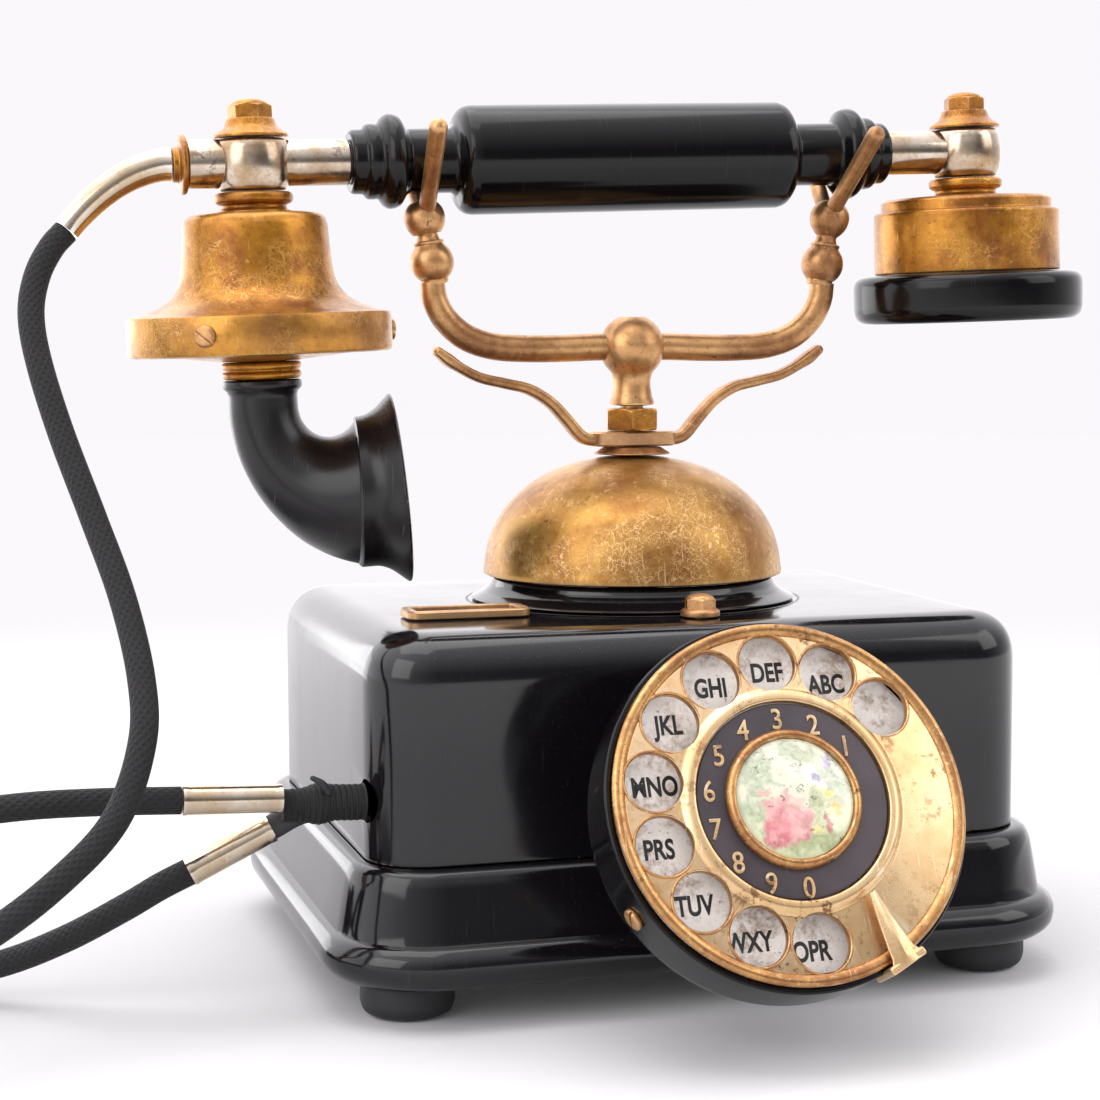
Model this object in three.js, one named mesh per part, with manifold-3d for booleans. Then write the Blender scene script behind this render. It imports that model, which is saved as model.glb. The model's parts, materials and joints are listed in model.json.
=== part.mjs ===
// A French-style cradle telephone: enamelled base with a gong, a rising cradle, a dial in a tilted cup,
// and a handset with a trumpet mouthpiece. Millimetres, +Z up, +X to the caller's right, the dial faces -Y.
// Every piece is modelled about the gong's axis with the table at z = 0, and the whole is shifted at the end
// so that the origin lies under the middle of the telephone without its cords.
import * as THREE from 'three';
import Module from 'manifold-3d';
import { mergeVertices } from 'three/addons/utils/BufferGeometryUtils.js';

const wasm = await Module();
wasm.setup();

// ---------- driving dimensions ----------
const GAP = 0.3; // between pieces that touch
const CASE = { width: 154.6, depth: 123, bottom: 33.9, top: 83.7, corner: 14, edge: 10.5, wall: 2 };
const HALF = { x: CASE.width / 2, y: CASE.depth / 2 };
const FOOT = { x: 68.8, y: 51.8, radius: 10.5, height: 7.9 };
const PLATE_Z = 10.7; // underside of the base plate
const SHAFT = { radius: 2.8, bore: 3.2, bottom: 61.5 }; // the plunger and every hole it slides in
const GONG = { radius: 36.3, rim: 89.9, crown: 118.6, sheet: 1.8, fullness: 0.93 };
const PEDESTAL = { radius: 37.6, waist: 33.5, top: 89.4, wall: 1.7, hub: 6 };
const BALL = { radius: 7.9, z: 144.9, flat: 7.2 };
const BAR = { radius: 3.3, lean: 9.5, beadRadius: 5.2 };
const BEAD = { x: 49.7, z: 165.1 }; // lower bead of each cradle post
const FORK = { beadRadius: 5, rise: 10.3, prong: 2.1, reach: 22 };
const FORK_LEFT = { side: -1, lift: 0, tip: 194.7, splay: 1.7 };
const FORK_RIGHT = { side: 1, lift: 1, tip: 195.1, splay: 2.6 };
const GUARD = { radius: 1.5, plateHalf: 10.6, plateDepth: 5.4, bottom: 120.9, top: 124.4 };
const BOLT = { x: 1.8, y: -44.5 }; // the small bolt on the top in front of the bell
const ENTRY = { y: -49.6, z: 46.9 }; // where both cords leave the case
const DIAL = { y: -104.9, z: 52.9, tilt: 25.6, radius: 38.2, holes: 10, holeRadius: 6.1, holeCircle: 29.5 };
const DIAL_FIRST = 39.3; // angle of the first finger hole, in degrees above +X
const DIAL_STEP = 25.95;
const STOP_ANGLE = -60.5; // the finger stop
const CUP = { radius: 39.2, wall: 1.6, lip: -1.7, depth: 23.5, floor: 1.8, boss: 25, bore: 18, bossZ: 46 };
const CUP_SCREW_ANGLE = 210.5;
const GEAR = { teeth: 28, pinion: 7, module: 1.05 };
const CLAPPER = { x: -28.6, pivotZ: 49, ball: 3, ballZ: 98, hole: 3 };
const HANDSET = { x: -2, z: 190.4, tilt: 1.85, knuckle: 90.2 };
const KNUCKLE = { radius: 9, stub: 5.3, bottom: -6.3, top: 5.6, cordEnd: -105.3 };
const GRIP = { radius: 12.95, neck: 7.6, end: 67.5, bore: 4 };
const HORN = { bend: 21, sweep: 94, drop: 6.2, turn: -8 }; // the mouthpiece's elbow
const CORD = { radius: 3, sides: 8 };
const LINE_COIL = { x: -216, y: 46, radius: 31.5, bundle: 12.3, height: 12.7 };
const HANDSET_LOOP = { x: -212, y: -43, radius: 36, topZ: 13.4, turns: 1.5 };

// ---------- materials ----------
const FINISH = {
  enamel: { color: 0x0b0a0c, roughness: 0.12, metalness: 0 },
  bakelite: { color: 0x120f12, roughness: 0.2, metalness: 0 },
  copperBrass: { color: 0x8f5f33, roughness: 0.42, metalness: 1 },
  agedBrass: { color: 0x9a6b2a, roughness: 0.4, metalness: 1 },
  gold: { color: 0xd9a640, roughness: 0.3, metalness: 1 },
  nickel: { color: 0xb9a893, roughness: 0.25, metalness: 1 },
  whiteEnamel: { color: 0xe9e4dc, roughness: 0.25, metalness: 0 },
  violetEnamel: { color: 0x2c2730, roughness: 0.4, metalness: 0 },
  porcelain: { color: 0xb9c3a0, roughness: 0.12, metalness: 0 },
  rubber: { color: 0x17161a, roughness: 0.8, metalness: 0 },
  cloth: { color: 0x17161a, roughness: 0.9, metalness: 0 },
  steel: { color: 0x8b8b90, roughness: 0.4, metalness: 1 },
  fibre: { color: 0x5a3a22, roughness: 0.7, metalness: 0 },
  coilTape: { color: 0x6d2a1c, roughness: 0.6, metalness: 0 },
};

// ---------- shape helpers ----------
const rad = THREE.MathUtils.degToRad;
const phone = new THREE.Group();
const dial = new THREE.Group();
dial.position.set(0, DIAL.y, DIAL.z);
dial.rotation.x = rad(90 - DIAL.tilt);
dial.updateMatrix();
const handset = new THREE.Group();
handset.position.set(HANDSET.x, 0, HANDSET.z);
handset.rotation.y = -rad(HANDSET.tilt);
handset.updateMatrix();
phone.add(dial, handset);

function add(name, geometry, finish, parent = phone, at = [0, 0, 0]) {
  const material = new THREE.MeshStandardMaterial(FINISH[finish]);
  const mesh = new THREE.Mesh(geometry, material);
  mesh.name = name;
  mesh.position.set(...at);
  parent.add(mesh);
  return mesh;
}

function solid(geometry) {
  const plain = geometry.clone();
  plain.deleteAttribute('normal');
  plain.deleteAttribute('uv');
  const welded = mergeVertices(plain, 1e-4);
  return new wasm.Manifold(new wasm.Mesh({
    numProp: 3,
    vertProperties: Float32Array.from(welded.attributes.position.array),
    triVerts: Uint32Array.from(welded.index.array),
  }));
}

function geometryOf(manifold) {
  const { vertProperties, triVerts } = manifold.getMesh();
  const geometry = new THREE.BufferGeometry();
  geometry.setAttribute('position', new THREE.BufferAttribute(new Float32Array(vertProperties), 3));
  geometry.setIndex(new THREE.BufferAttribute(new Uint32Array(triVerts), 1));
  geometry.computeVertexNormals();
  return geometry;
}

// The first geometry joined with the others.
function join(first, ...others) {
  return geometryOf(others.reduce((whole, next) => whole.add(solid(next)), solid(first)));
}

// The first geometry with the others taken out of it.
function cut(first, ...others) {
  return geometryOf(others.reduce((whole, next) => whole.subtract(solid(next)), solid(first)));
}

// A turned piece about Z. The profile is a list of [radius, z], in either direction round.
function turned(profile, segments = 14) {
  const points = profile.map(([r, z]) => new THREE.Vector2(r, z));
  if (THREE.ShapeUtils.area(points) < 0) points.reverse();
  const closed = points[0].x > 0;
  if (closed) points.push(points[0].clone());
  return new THREE.LatheGeometry(points, segments).rotateX(Math.PI / 2);
}

function cylinder(radius, bottom, top, segments = 14) {
  return turned([[0, bottom], [radius, bottom], [radius, top], [0, top]], segments);
}

function ball(radius, x, y, z, segments = 10) {
  return new THREE.SphereGeometry(radius, segments, segments * 0.6).rotateX(Math.PI / 2).translate(x, y, z);
}

function box(width, depth, height, x, y, bottom) {
  return new THREE.BoxGeometry(width, depth, height).translate(x, y, bottom + height / 2);
}

// Turned about X instead of Z: the profile's z runs along +X.
function turnedAlongX(profile, segments = 16) {
  return turned(profile, segments).rotateY(Math.PI / 2);
}

function roundedRectangle(halfX, halfY, corner) {
  const shape = new THREE.Shape();
  shape.absarc(halfX - corner, halfY - corner, corner, 0, Math.PI / 2);
  shape.absarc(corner - halfX, halfY - corner, corner, Math.PI / 2, Math.PI);
  shape.absarc(corner - halfX, corner - halfY, corner, Math.PI, 1.5 * Math.PI);
  shape.absarc(halfX - corner, corner - halfY, corner, 1.5 * Math.PI, 2 * Math.PI);
  return shape;
}

function slab(halfX, halfY, corner, bottom, height) {
  const settings = { depth: height, bevelEnabled: false, curveSegments: 3 };
  return new THREE.ExtrudeGeometry(roundedRectangle(halfX, halfY, corner), settings).translate(0, 0, bottom);
}

// A rounded block whose top edge is a quarter circle; it reaches well below `bottom`, to be cut off there.
function pillow(halfX, halfY, corner, edge, top) {
  const settings = {
    depth: top - 2 * edge, bevelThickness: edge, bevelSize: edge, bevelOffset: -edge,
    bevelSegments: 4, curveSegments: 3,
  };
  return new THREE.ExtrudeGeometry(roundedRectangle(halfX, halfY, corner), settings).translate(0, 0, edge);
}

// A moulding carried round a rounded rectangle: a turned ring whose four quarters are moved apart.
// The profile is a closed list of [offset from the case's faces, z].
function moulding(profile, perQuarter = 4) {
  const step = Math.PI / 2 / perQuarter;
  const points = profile.map(([offset, z]) => new THREE.Vector2(CASE.corner + offset, z));
  if (THREE.ShapeUtils.area(points) < 0) points.reverse();
  points.push(points[0].clone());
  const ring = new THREE.LatheGeometry(points, 4 * perQuarter, step / 2).rotateX(Math.PI / 2);
  const place = ring.attributes.position;
  for (let i = 0; i < place.count; i += 1) {
    place.setX(i, place.getX(i) + Math.sign(place.getX(i)) * (HALF.x - CASE.corner));
    place.setY(i, place.getY(i) + Math.sign(place.getY(i)) * (HALF.y - CASE.corner));
  }
  return ring;
}

// A round bar of one thickness along a smooth curve through the points.
function bar(points, radius, steps, sides = 10, tension = 0.5) {
  const path = new THREE.CatmullRomCurve3(points.map((p) => new THREE.Vector3(...p)), false, 'catmullrom', tension);
  const section = new THREE.Shape().absarc(0, 0, radius, 0, 2 * Math.PI);
  const settings = { steps, bevelEnabled: false, extrudePath: path, curveSegments: sides / 2 };
  return new THREE.ExtrudeGeometry(section, settings);
}

// A turned piece bent so that its axis follows a path drawn in the XZ plane; its z is the distance along it.
function bent(geometry, path) {
  const length = path.getLength();
  const place = geometry.attributes.position;
  for (let i = 0; i < place.count; i += 1) {
    const along = THREE.MathUtils.clamp(place.getZ(i) / length, 0, 1);
    const point = path.getPointAt(along);
    const tangent = path.getTangentAt(along);
    const side = place.getX(i);
    place.setXYZ(i, point.x + tangent.y * side, place.getY(i), point.y - tangent.x * side);
  }
  return geometry;
}

function hexagon(circumradius, bottom, height, turn = 0) {
  return new THREE.CylinderGeometry(circumradius, circumradius, height, 6)
    .rotateX(Math.PI / 2).rotateZ(turn).translate(0, 0, bottom + height / 2);
}

function gearWheel(teeth, bottom, thickness) {
  const shape = new THREE.Shape();
  const pitch = (GEAR.module * teeth) / 2;
  const rims = [[0.2, -1.1], [0.4, 0.8], [0.6, 0.8], [0.8, -1.1]];
  for (let tooth = 0; tooth < teeth; tooth += 1) {
    for (const [part, height] of rims) {
      const angle = (2 * Math.PI * (tooth + part - 0.5)) / teeth;
      const radius = pitch + height * GEAR.module;
      shape.lineTo(radius * Math.cos(angle), radius * Math.sin(angle));
    }
  }
  shape.curves.shift();
  return new THREE.ExtrudeGeometry(shape, { depth: thickness, bevelEnabled: false }).translate(0, 0, bottom);
}

// ---------- base ----------
const PLINTH_PROFILE = [
  [1.4, 33.6], [3.6, 32.3], [4.6, 29.2], [6.4, 18.8], [8.2, 17.6], [9.7, 15.6], [10.2, 13.2], [9.5, 10.7],
  [7.4, 8.8], [4, 8.2], [-6, 8.2], [-6, 10.4], [2, 10.4], [6, 11.6], [7.6, 13.4], [6.4, 15.6], [4.2, 18.6],
  [2.4, 28.8], [1.2, 31.2], [-6, 31.2], [-6, 33.6],
];

function caseBlock(grow = 0) {
  return pillow(HALF.x + grow, HALF.y + grow, CASE.corner + grow, CASE.edge, CASE.top + grow);
}

function topCover() {
  const inner = pillow(HALF.x - CASE.wall, HALF.y - CASE.wall, CASE.corner - CASE.wall,
    CASE.edge - CASE.wall, CASE.top - CASE.wall);
  const below = box(2 * CASE.width, 2 * CASE.depth, CASE.bottom + 40, 0, 0, -40);
  const plungerHole = cylinder(SHAFT.bore, 70, 90);
  const clapperHole = cylinder(CLAPPER.hole, 70, 90, 16).translate(CLAPPER.x, 0, 0);
  const boltHole = cylinder(1.8, 70, 90, 12).translate(BOLT.x, BOLT.y, 0);
  const dialHole = cylinder(CUP.bore, 0, 20).rotateX(Math.PI / 2).translate(0, -HALF.y + 10, CUP.bossZ);
  const cordHole = cylinder(4.8, 0, 20, 16).rotateY(-Math.PI / 2).translate(-HALF.x + 10, ENTRY.y, ENTRY.z);
  return cut(caseBlock(), inner, below, plungerHole, clapperHole, boltHole, dialHole, cordHole);
}

function foot() {
  return turned([[0, 0], [FOOT.radius - 3, 0], [FOOT.radius - 0.9, 0.9], [FOOT.radius, 3],
    [FOOT.radius - 0.1, FOOT.height], [0, FOOT.height]]);
}

// ---------- bell ----------
function pedestal() {
  const seat = CASE.top + GAP;
  const inside = PEDESTAL.waist - PEDESTAL.wall;
  const hubTop = GONG.crown - GONG.sheet - 3 * GAP;
  const body = turned([
    [SHAFT.bore, seat], [PEDESTAL.radius, seat], [PEDESTAL.radius, seat + 0.5], [PEDESTAL.radius - 1, seat + 1.2],
    [PEDESTAL.waist + 1.5, seat + 2.4], [PEDESTAL.waist + 0.4, seat + 3.8], [PEDESTAL.waist, PEDESTAL.top],
    [inside, PEDESTAL.top], [inside, seat + 2], [PEDESTAL.hub + 2, seat + 2], [PEDESTAL.hub, seat + 4],
    [PEDESTAL.hub, hubTop], [SHAFT.bore, hubTop],
  ], 20);
  return cut(body, cylinder(CLAPPER.hole, 80, 90, 16).translate(CLAPPER.x, 0, 0));
}

// Half of the gong's section from the rim up, a little fuller than an ellipse.
function gongCurve(radius, crown) {
  const curve = [];
  for (let angle = 0; angle < 84; angle += 11) {
    const out = Math.cos(rad(angle)) ** GONG.fullness;
    const up = Math.sin(rad(angle)) ** GONG.fullness;
    curve.push([radius * out, GONG.rim + (crown - GONG.rim) * up]);
  }
  curve.push([SHAFT.bore, crown]);
  return curve;
}

function gong() {
  const inner = gongCurve(GONG.radius - GONG.sheet, GONG.crown - GONG.sheet);
  return turned([...gongCurve(GONG.radius, GONG.crown), ...inner.reverse()], 20);
}

function gongFlange() {
  return turned([[SHAFT.bore, 118.9], [8.8, 118.9], [8.2, 119.6], [7, 120.6], [SHAFT.bore, 120.6]], 20);
}

function guardArms() {
  const arm = [[8, 0, 122.5], [11.2, 0, 122.6], [13.6, 0, 123.8], [17, 0, 127.7], [21, 0, 131.8], [26.2, 0, 134.9],
    [32, 0, 136.3], [38.6, 0, 137.9], [44.5, 0, 141], [48.6, 0, 144]];
  const plate = slab(GUARD.plateHalf, GUARD.plateDepth, 4.4, GUARD.bottom, GUARD.top - GUARD.bottom);
  const right = bar(arm, GUARD.radius, 12, 8);
  const left = bar(arm.map(([x, y, z]) => [-x, y, z]), GUARD.radius, 12, 8);
  const tips = [-1, 1].map((side) => ball(GUARD.radius, side * 48.6, 0, 144, 8));
  const hole = cylinder(SHAFT.bore, GUARD.bottom - 3, GUARD.top + 3, 16);
  return cut(join(plate, right, left, ...tips), hole);
}

function lockNut() {
  const nut = hexagon(6.8, 124.7, 5.3, rad(14));
  const chamfer = turned([[0, 124.7], [6.9, 124.7], [6.9, 129], [5.9, 130], [0, 130]], 20);
  return cut(geometryOf(solid(nut).intersect(solid(chamfer))), cylinder(SHAFT.bore, 120, 135, 16));
}

// ---------- top plate ----------
function topBolt() {
  const washer = turned([[0, 84], [4.5, 84], [4.5, 85.2], [3.8, 85.9], [0, 85.9]], 20);
  const head = hexagon(3.7, 85.7, 2.3, rad(20));
  const dome = turned([[0, 85.7], [3.2, 85.7], [3.2, 88], [2.2, 88.8], [0, 89.1]], 16);
  return join(washer, head, dome, cylinder(1.5, 76, 85, 12)).translate(BOLT.x, BOLT.y, 0);
}

function cardFrame() {
  const frame = slab(14.4, 6.2, 0.8, 84, 1.8);
  return cut(frame, slab(12, 3.6, 0.5, 84.8, 2)).translate(-48.9, -26.8, 0);
}

// ---------- cradle ----------
function cradlePlunger() {
  const profile = [[0, SHAFT.bottom], [SHAFT.radius, SHAFT.bottom], [SHAFT.radius, 130.6], [3.8, 130.7],
    [5.2, 130.9], [5.3, 131.6], [4.7, 134], [4.5, 136], [4.9, 138.2]];
  for (let angle = -46; angle <= 60; angle += 13.25) {
    profile.push([BALL.radius * Math.cos(rad(angle)), BALL.z + BALL.radius * Math.sin(rad(angle))]);
  }
  profile.push([4.4, BALL.z + BALL.flat], [0, BALL.z + BALL.flat]);
  const crossHole = cylinder(BAR.radius + GAP, -20, 20, 16).rotateY(Math.PI / 2).translate(0, 0, BALL.z);
  return cut(turned(profile), crossHole);
}

// A post's lower bead and the collar above it, leaning outwards by BAR.lean.
function lowerBead(side) {
  const bead = [];
  for (let angle = -90; angle <= 52; angle += 23.6) {
    bead.push([BAR.beadRadius * Math.cos(rad(angle)), BAR.beadRadius * Math.sin(rad(angle))]);
  }
  bead[0] = [0, -BAR.beadRadius];
  bead.push([3.5, 4.4], [3.5, 5], [0, 5]);
  return turned(bead, 18).rotateY(side * rad(BAR.lean)).translate(side * BEAD.x, 0, BEAD.z);
}

function cradleBar() {
  const half = [[0, 0, BALL.z], [9, 0, BALL.z], [18, 0, 144.6], [27, 0, 144.6], [35, 0, 145.2], [41.6, 0, 147.4],
    [46.4, 0, 151.4], [49, 0, 156], [BEAD.x, 0, 160.5]];
  const left = half.slice(1).reverse().map(([x, y, z]) => [-x, y, z]);
  return join(bar([...left, ...half], BAR.radius, 24, 8), lowerBead(-1), lowerBead(1));
}

// Upper bead with its neck, and two prongs in a V across the handset.
function fork({ side, lift, tip, splay }) {
  const base = new THREE.Vector3(side * BEAD.x, 0, BEAD.z);
  const lean = new THREE.Vector3(side * Math.sin(rad(BAR.lean)), 0, Math.cos(rad(BAR.lean)));
  const centre = base.clone().addScaledVector(lean, FORK.rise + lift);
  const start = 5 + GAP - FORK.rise - lift;
  const bead = turned([[0, start], [2.9, start], [2.7, start + 1.6], [3.3, -3.8], [4.6, -2], [FORK.beadRadius, 0.2],
    [4.5, 2.3], [3, 4], [0, 4.9]], 14);
  bead.rotateY(side * rad(BAR.lean)).translate(...centre.toArray());
  const prongs = [];
  for (const way of [-1, 1]) {
    const top = [centre.x + side * splay, way * FORK.reach, tip];
    const knee = [centre.x, way * 2.4, centre.z + 2.2];
    prongs.push(bar([[centre.x, way * 0.6, centre.z + 0.8], knee, top], FORK.prong, 4, 8));
    prongs.push(ball(FORK.prong, ...top, 8));
  }
  return join(bead, ...prongs);
}

// ---------- dial ----------
function dialCup() {
  const { radius, wall, lip, depth, floor } = CUP;
  const cup = turned([
    [0, lip], [radius, lip], [radius, -15], [radius - 0.8, -17.6], [radius - 4, -21.2], [28.6, -depth], [0, -depth],
  ], 22).applyMatrix4(dial.matrix);
  const boss = cylinder(CUP.boss, 0, 50, 28).rotateX(Math.PI / 2).translate(0, -45, CUP.bossZ);
  const inside = turned([
    [0, 3], [radius - wall, 3], [radius - wall, -15], [radius - 2.4, -16.8], [radius - 5.2, -19.4],
    [28, floor - depth], [0, floor - depth],
  ], 22).applyMatrix4(dial.matrix);
  const bore = cylinder(CUP.bore, 0, 60).rotateX(Math.PI / 2).translate(0, -40, CUP.bossZ);
  const plinthBlock = moulding([[-10.2, 0], [-10.2, 34], [1.8, 34], [4, 32.6], [5, 29.2], [6.8, 19], [8.6, 18],
    [10.2, 15.8], [10.6, 13.2], [9.9, 10.4], [7.6, 8.4], [4, 7.8], [4, 0]]);
  return cut(join(cup, boss), inside, bore, caseBlock(0.4), plinthBlock);
}

function fingerWheel() {
  const plate = turned([
    [0, -1.2], [36.4, -1.2], [37.6, -0.9], [DIAL.radius, -0.1], [37.8, 0.7], [36.8, 0.8], [35.8, 0.1], [24.4, 0.5],
    [23.4, 1.2], [22.4, 1.6], [20.9, 1.6], [20.9, -0.4], [0, -0.4],
  ], 22);
  const holes = [];
  for (let i = 0; i < DIAL.holes; i += 1) {
    const angle = rad(DIAL_FIRST + i * DIAL_STEP);
    holes.push(cylinder(DIAL.holeRadius, -3, 3, 14)
      .translate(DIAL.holeCircle * Math.cos(angle), DIAL.holeCircle * Math.sin(angle), 0));
  }
  return cut(plate, ...holes);
}

// A blade that widens outwards over the wheel, and a foot folded down beside the cup.
function fingerStop() {
  const outline = [[24, -0.7], [38.4, -2.8], [41.3, -5.5], [41.3, 5.5], [38.4, 2.8], [24, 0.7]];
  const blade = new THREE.ExtrudeGeometry(new THREE.Shape(outline.map(([x, y]) => new THREE.Vector2(x, y))),
    { depth: 1.1, bevelEnabled: false }).translate(0, 0, 2.1);
  return join(blade, box(41.3 - CUP.radius - GAP, 11, 9.2, (41.3 + CUP.radius + GAP) / 2, 0, -6))
    .rotateZ(rad(STOP_ANGLE));
}

function dialSpindle() {
  return join(gearWheel(GEAR.teeth, -13, 2), cylinder(3, -16, -1.5, 16));
}

function governor() {
  const weights = box(3.2, 10, 3, 0, 0, -18.4);
  return join(gearWheel(GEAR.pinion, -13, 2), cylinder(1.4, -19.5, -9.5, 12), weights);
}

function dialChassis() {
  const spindleHole = cylinder(3.4, -12, 0, 16);
  return cut(cylinder(37.2, -8, -6.4, 32), spindleHole);
}

// ---------- ringer and wiring inside ----------
function clapper() {
  const armature = box(30, 7, 2, CLAPPER.x, 0, CLAPPER.pivotZ - 1);
  const rod = cylinder(0.9, CLAPPER.pivotZ, CLAPPER.ballZ, 8).translate(CLAPPER.x, 0, 0);
  return join(armature, rod, ball(CLAPPER.ball, CLAPPER.x, 0, CLAPPER.ballZ, 12));
}

function ringerFrame() {
  const floor = box(44, 20, 1.6, CLAPPER.x, 0, 12.9);
  const cheeks = [-1, 1].map((side) => box(8, 1.6, 37, CLAPPER.x, side * 9, 14.3));
  return join(floor, ...cheeks);
}

function ringerCoil() {
  return turned([[0, 14.9], [8.2, 14.9], [8.2, 16.4], [7.4, 16.4], [7.4, 41.5], [8.2, 41.5], [8.2, 43], [3, 43],
    [3, 46.6], [0, 46.6]], 20);
}

function hookSwitch() {
  const post = box(8, 10, 48, 26, 0, 12.9);
  const leaves = [58.4, 56.2, 54].map((z) => box(30, 6, 0.7, 13, 0, z + 2.1));
  return join(post, ...leaves);
}

function terminalBlock() {
  const screws = [-15, -5, 5, 15].map((x) => cylinder(2.4, 20, 24, 12).translate(40 + x, 34, 0));
  return join(box(42, 14, 8.6, 40, 34, 12.9), ...screws);
}

// ---------- handset ----------
function grip() {
  const half = [[GRIP.radius, 0], [GRIP.radius, 38.7], [12.4, 40.5], [10.8, 41.7], [8.4, 42.2], [GRIP.neck, 43.1],
    [GRIP.neck, 53.8], [8.6, 54.6], [10.6, 55.8], [11.1, 57.2], [11.1, 58.6], [10.2, 59.8], [8.7, 60.8], [8.9, 62.2],
    [8.7, 63.6], [7.6, 64.3], [7.5, 66.8], [6.9, GRIP.end]];
  const other = half.slice(1).reverse().map(([r, along]) => [r, -along]);
  return turnedAlongX([...other, ...half, [GRIP.bore, GRIP.end], [GRIP.bore, -GRIP.end]]);
}

function knuckle(side) {
  const centre = side * HANDSET.knuckle;
  const barrel = turned([[0, KNUCKLE.bottom], [7.7, KNUCKLE.bottom], [8.4, -4.8], [KNUCKLE.radius, -1.6],
    [KNUCKLE.radius, 1.4], [8.5, 4.2], [7.7, KNUCKLE.top], [0, KNUCKLE.top]]).translate(centre, 0, 0);
  const stub = turnedAlongX([[0, side * (GRIP.end + GAP)], [KNUCKLE.stub, side * (GRIP.end + GAP)],
    [KNUCKLE.stub, centre], [0, centre]]);
  const bore = turnedAlongX([[0, side * 60], [GRIP.bore, side * 60], [GRIP.bore, side * 79], [0, side * 79]], 20);
  if (side > 0) return cut(join(barrel, stub), bore);
  const cordStub = turnedAlongX([[0, centre], [5.6, centre], [5.6, KNUCKLE.cordEnd], [0, KNUCKLE.cordEnd]]);
  return cut(join(barrel, stub, cordStub), bore);
}

function capNut(turn) {
  const flange = turned([[0, 5.9], [8.7, 5.9], [8.7, 6.6], [7.6, 7.3], [6.2, 8.4], [5.4, 10.2], [4.6, 10.6], [0, 10.6]]);
  const dome = turned([[0, 10], [4.3, 10], [4.3, 13.4], [3.2, 14.4], [1.6, 14.8], [0, 14.9]], 20);
  return join(flange, hexagon(5.1, 10.3, 3.1, turn), dome);
}

function housingRing() {
  return turned([[0, -6.6], [8.6, -6.6], [9.15, -7.2], [9.15, -8.6], [8.5, -9.2], [7.6, -9.5], [7.6, -10.2],
    [8.7, -11.1], [0, -11.1]]);
}

function transmitterHousing() {
  const bell = turned([
    [0, -11.4], [14.4, -11.4], [16.2, -12.3], [16.8, -14.2], [17.7, -25], [18.9, -28.6], [21.8, -31.7], [26.4, -33.8],
    [30, -34.7], [30.65, -35.6], [30.65, -42.8], [29.8, -43.8], [28.6, -43.8], [28.6, -36.8], [25.4, -35.9],
    [20.6, -33.6], [17, -30], [15.9, -25], [15, -14.8], [13.8, -13.4], [0, -13.4],
  ], 22);
  const screws = [];
  for (let i = 0; i < 3; i += 1) {
    screws.push(cylinder(2.4, 30, 31.7, 12).rotateY(Math.PI / 2).translate(0, 0, -39.2).rotateZ(rad(-122 + 120 * i)));
  }
  return join(bell, ...screws);
}

function transmitterPlate() {
  return turned([[7, -41.6], [28.3, -41.6], [28.3, -43.6], [20, -44.2], [9.4, -45.4], [7, -45.4]], 18);
}

function transmitterCollar() {
  return turned([[6.2, -45.7], [8.7, -45.7], [9.2, -46.2], [9.2, -47], [8.6, -47.6], [9.2, -48.2], [9.2, -49],
    [8.7, -49.5], [6.2, -49.5]]);
}

// The elbow and its horn are turned straight, then bent through a quarter circle.
function mouthpiece() {
  const straight = turned([
    [6, 0], [8.6, 0], [9.2, 0.7], [9.2, 1.8], [8, 3.4], [8.1, 8], [8.4, 13], [9.4, 19],
    [11.3, 25.5], [14, 32], [16.8, 39], [17.6, 39.6], [17.9, 42.6], [19.1, 45.2], [22, 48.6], [22, 49.2],
    [20.8, 49.3], [17.4, 44.6], [14, 37],
    [9.6, 28], [7, 20], [6.1, 12],
  ], 16);
  const path = new THREE.Path();
  const sweep = rad(HORN.sweep);
  const start = -49.8;
  const elbow = start - HORN.drop;
  path.moveTo(0, start);
  path.lineTo(0, elbow);
  path.absarc(HORN.bend, elbow, HORN.bend, Math.PI, Math.PI + sweep);
  const end = path.currentPoint.clone();
  path.lineTo(end.x + 9.2 * Math.sin(sweep), end.y - 9.2 * Math.cos(sweep));
  return bent(straight, path).rotateZ(rad(HORN.turn));
}

function carbonCapsule() {
  return turned([[0, -41.2], [6.6, -41.2], [27.9, -41.2], [27.9, -38.2], [18, -37], [0, -37]], 22);
}

function receiverCup() {
  return turned([[0, -11.4], [19.9, -11.4], [21.3, -12.2], [21.3, -14.8], [23.1, -15.2], [23.1, -30.1],
    [21.2, -30.1], [21.2, -16.8], [19.4, -13.4], [0, -13.4]], 20);
}

function earCap() {
  return turned([[21, -30.4], [26.4, -30.4], [28.1, -31.4], [28.7, -33.4], [28.7, -39.6], [28, -41.6], [26.4, -42.5],
    [24, -42.5], [14, -40.4], [8.4, -39.7], [7.6, -38.8], [8.4, -38], [19, -38], [21, -36.4]], 20);
}

function receiverUnit() {
  return turned([[0, -15.8], [18, -15.8], [18, -20], [20.6, -20.6], [20.6, -35.4], [0, -35.4]], 22);
}

function cordGland() {
  const start = KNUCKLE.cordEnd - GAP;
  return turnedAlongX([[0, start], [6.85, start], [6.85, start - 1.3], [4.1, start - 1.6], [3.95, start - 3.1],
    [0, start - 3.1]], 20);
}

function handsetSleeve() {
  const path = new THREE.Path();
  path.moveTo(-109.1, 0);
  path.lineTo(-110.4, 0);
  path.quadraticCurveTo(-122, -1.4, -133, -14.1);
  const length = path.getLength();
  const rings = [];
  for (let i = 0; i <= 6; i += 1) rings.push([3.9 - (0.8 * i) / 6, (length * i) / 6]);
  return bent(turned([[0, 0], ...rings, [0, length]], 16), path);
}

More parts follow.
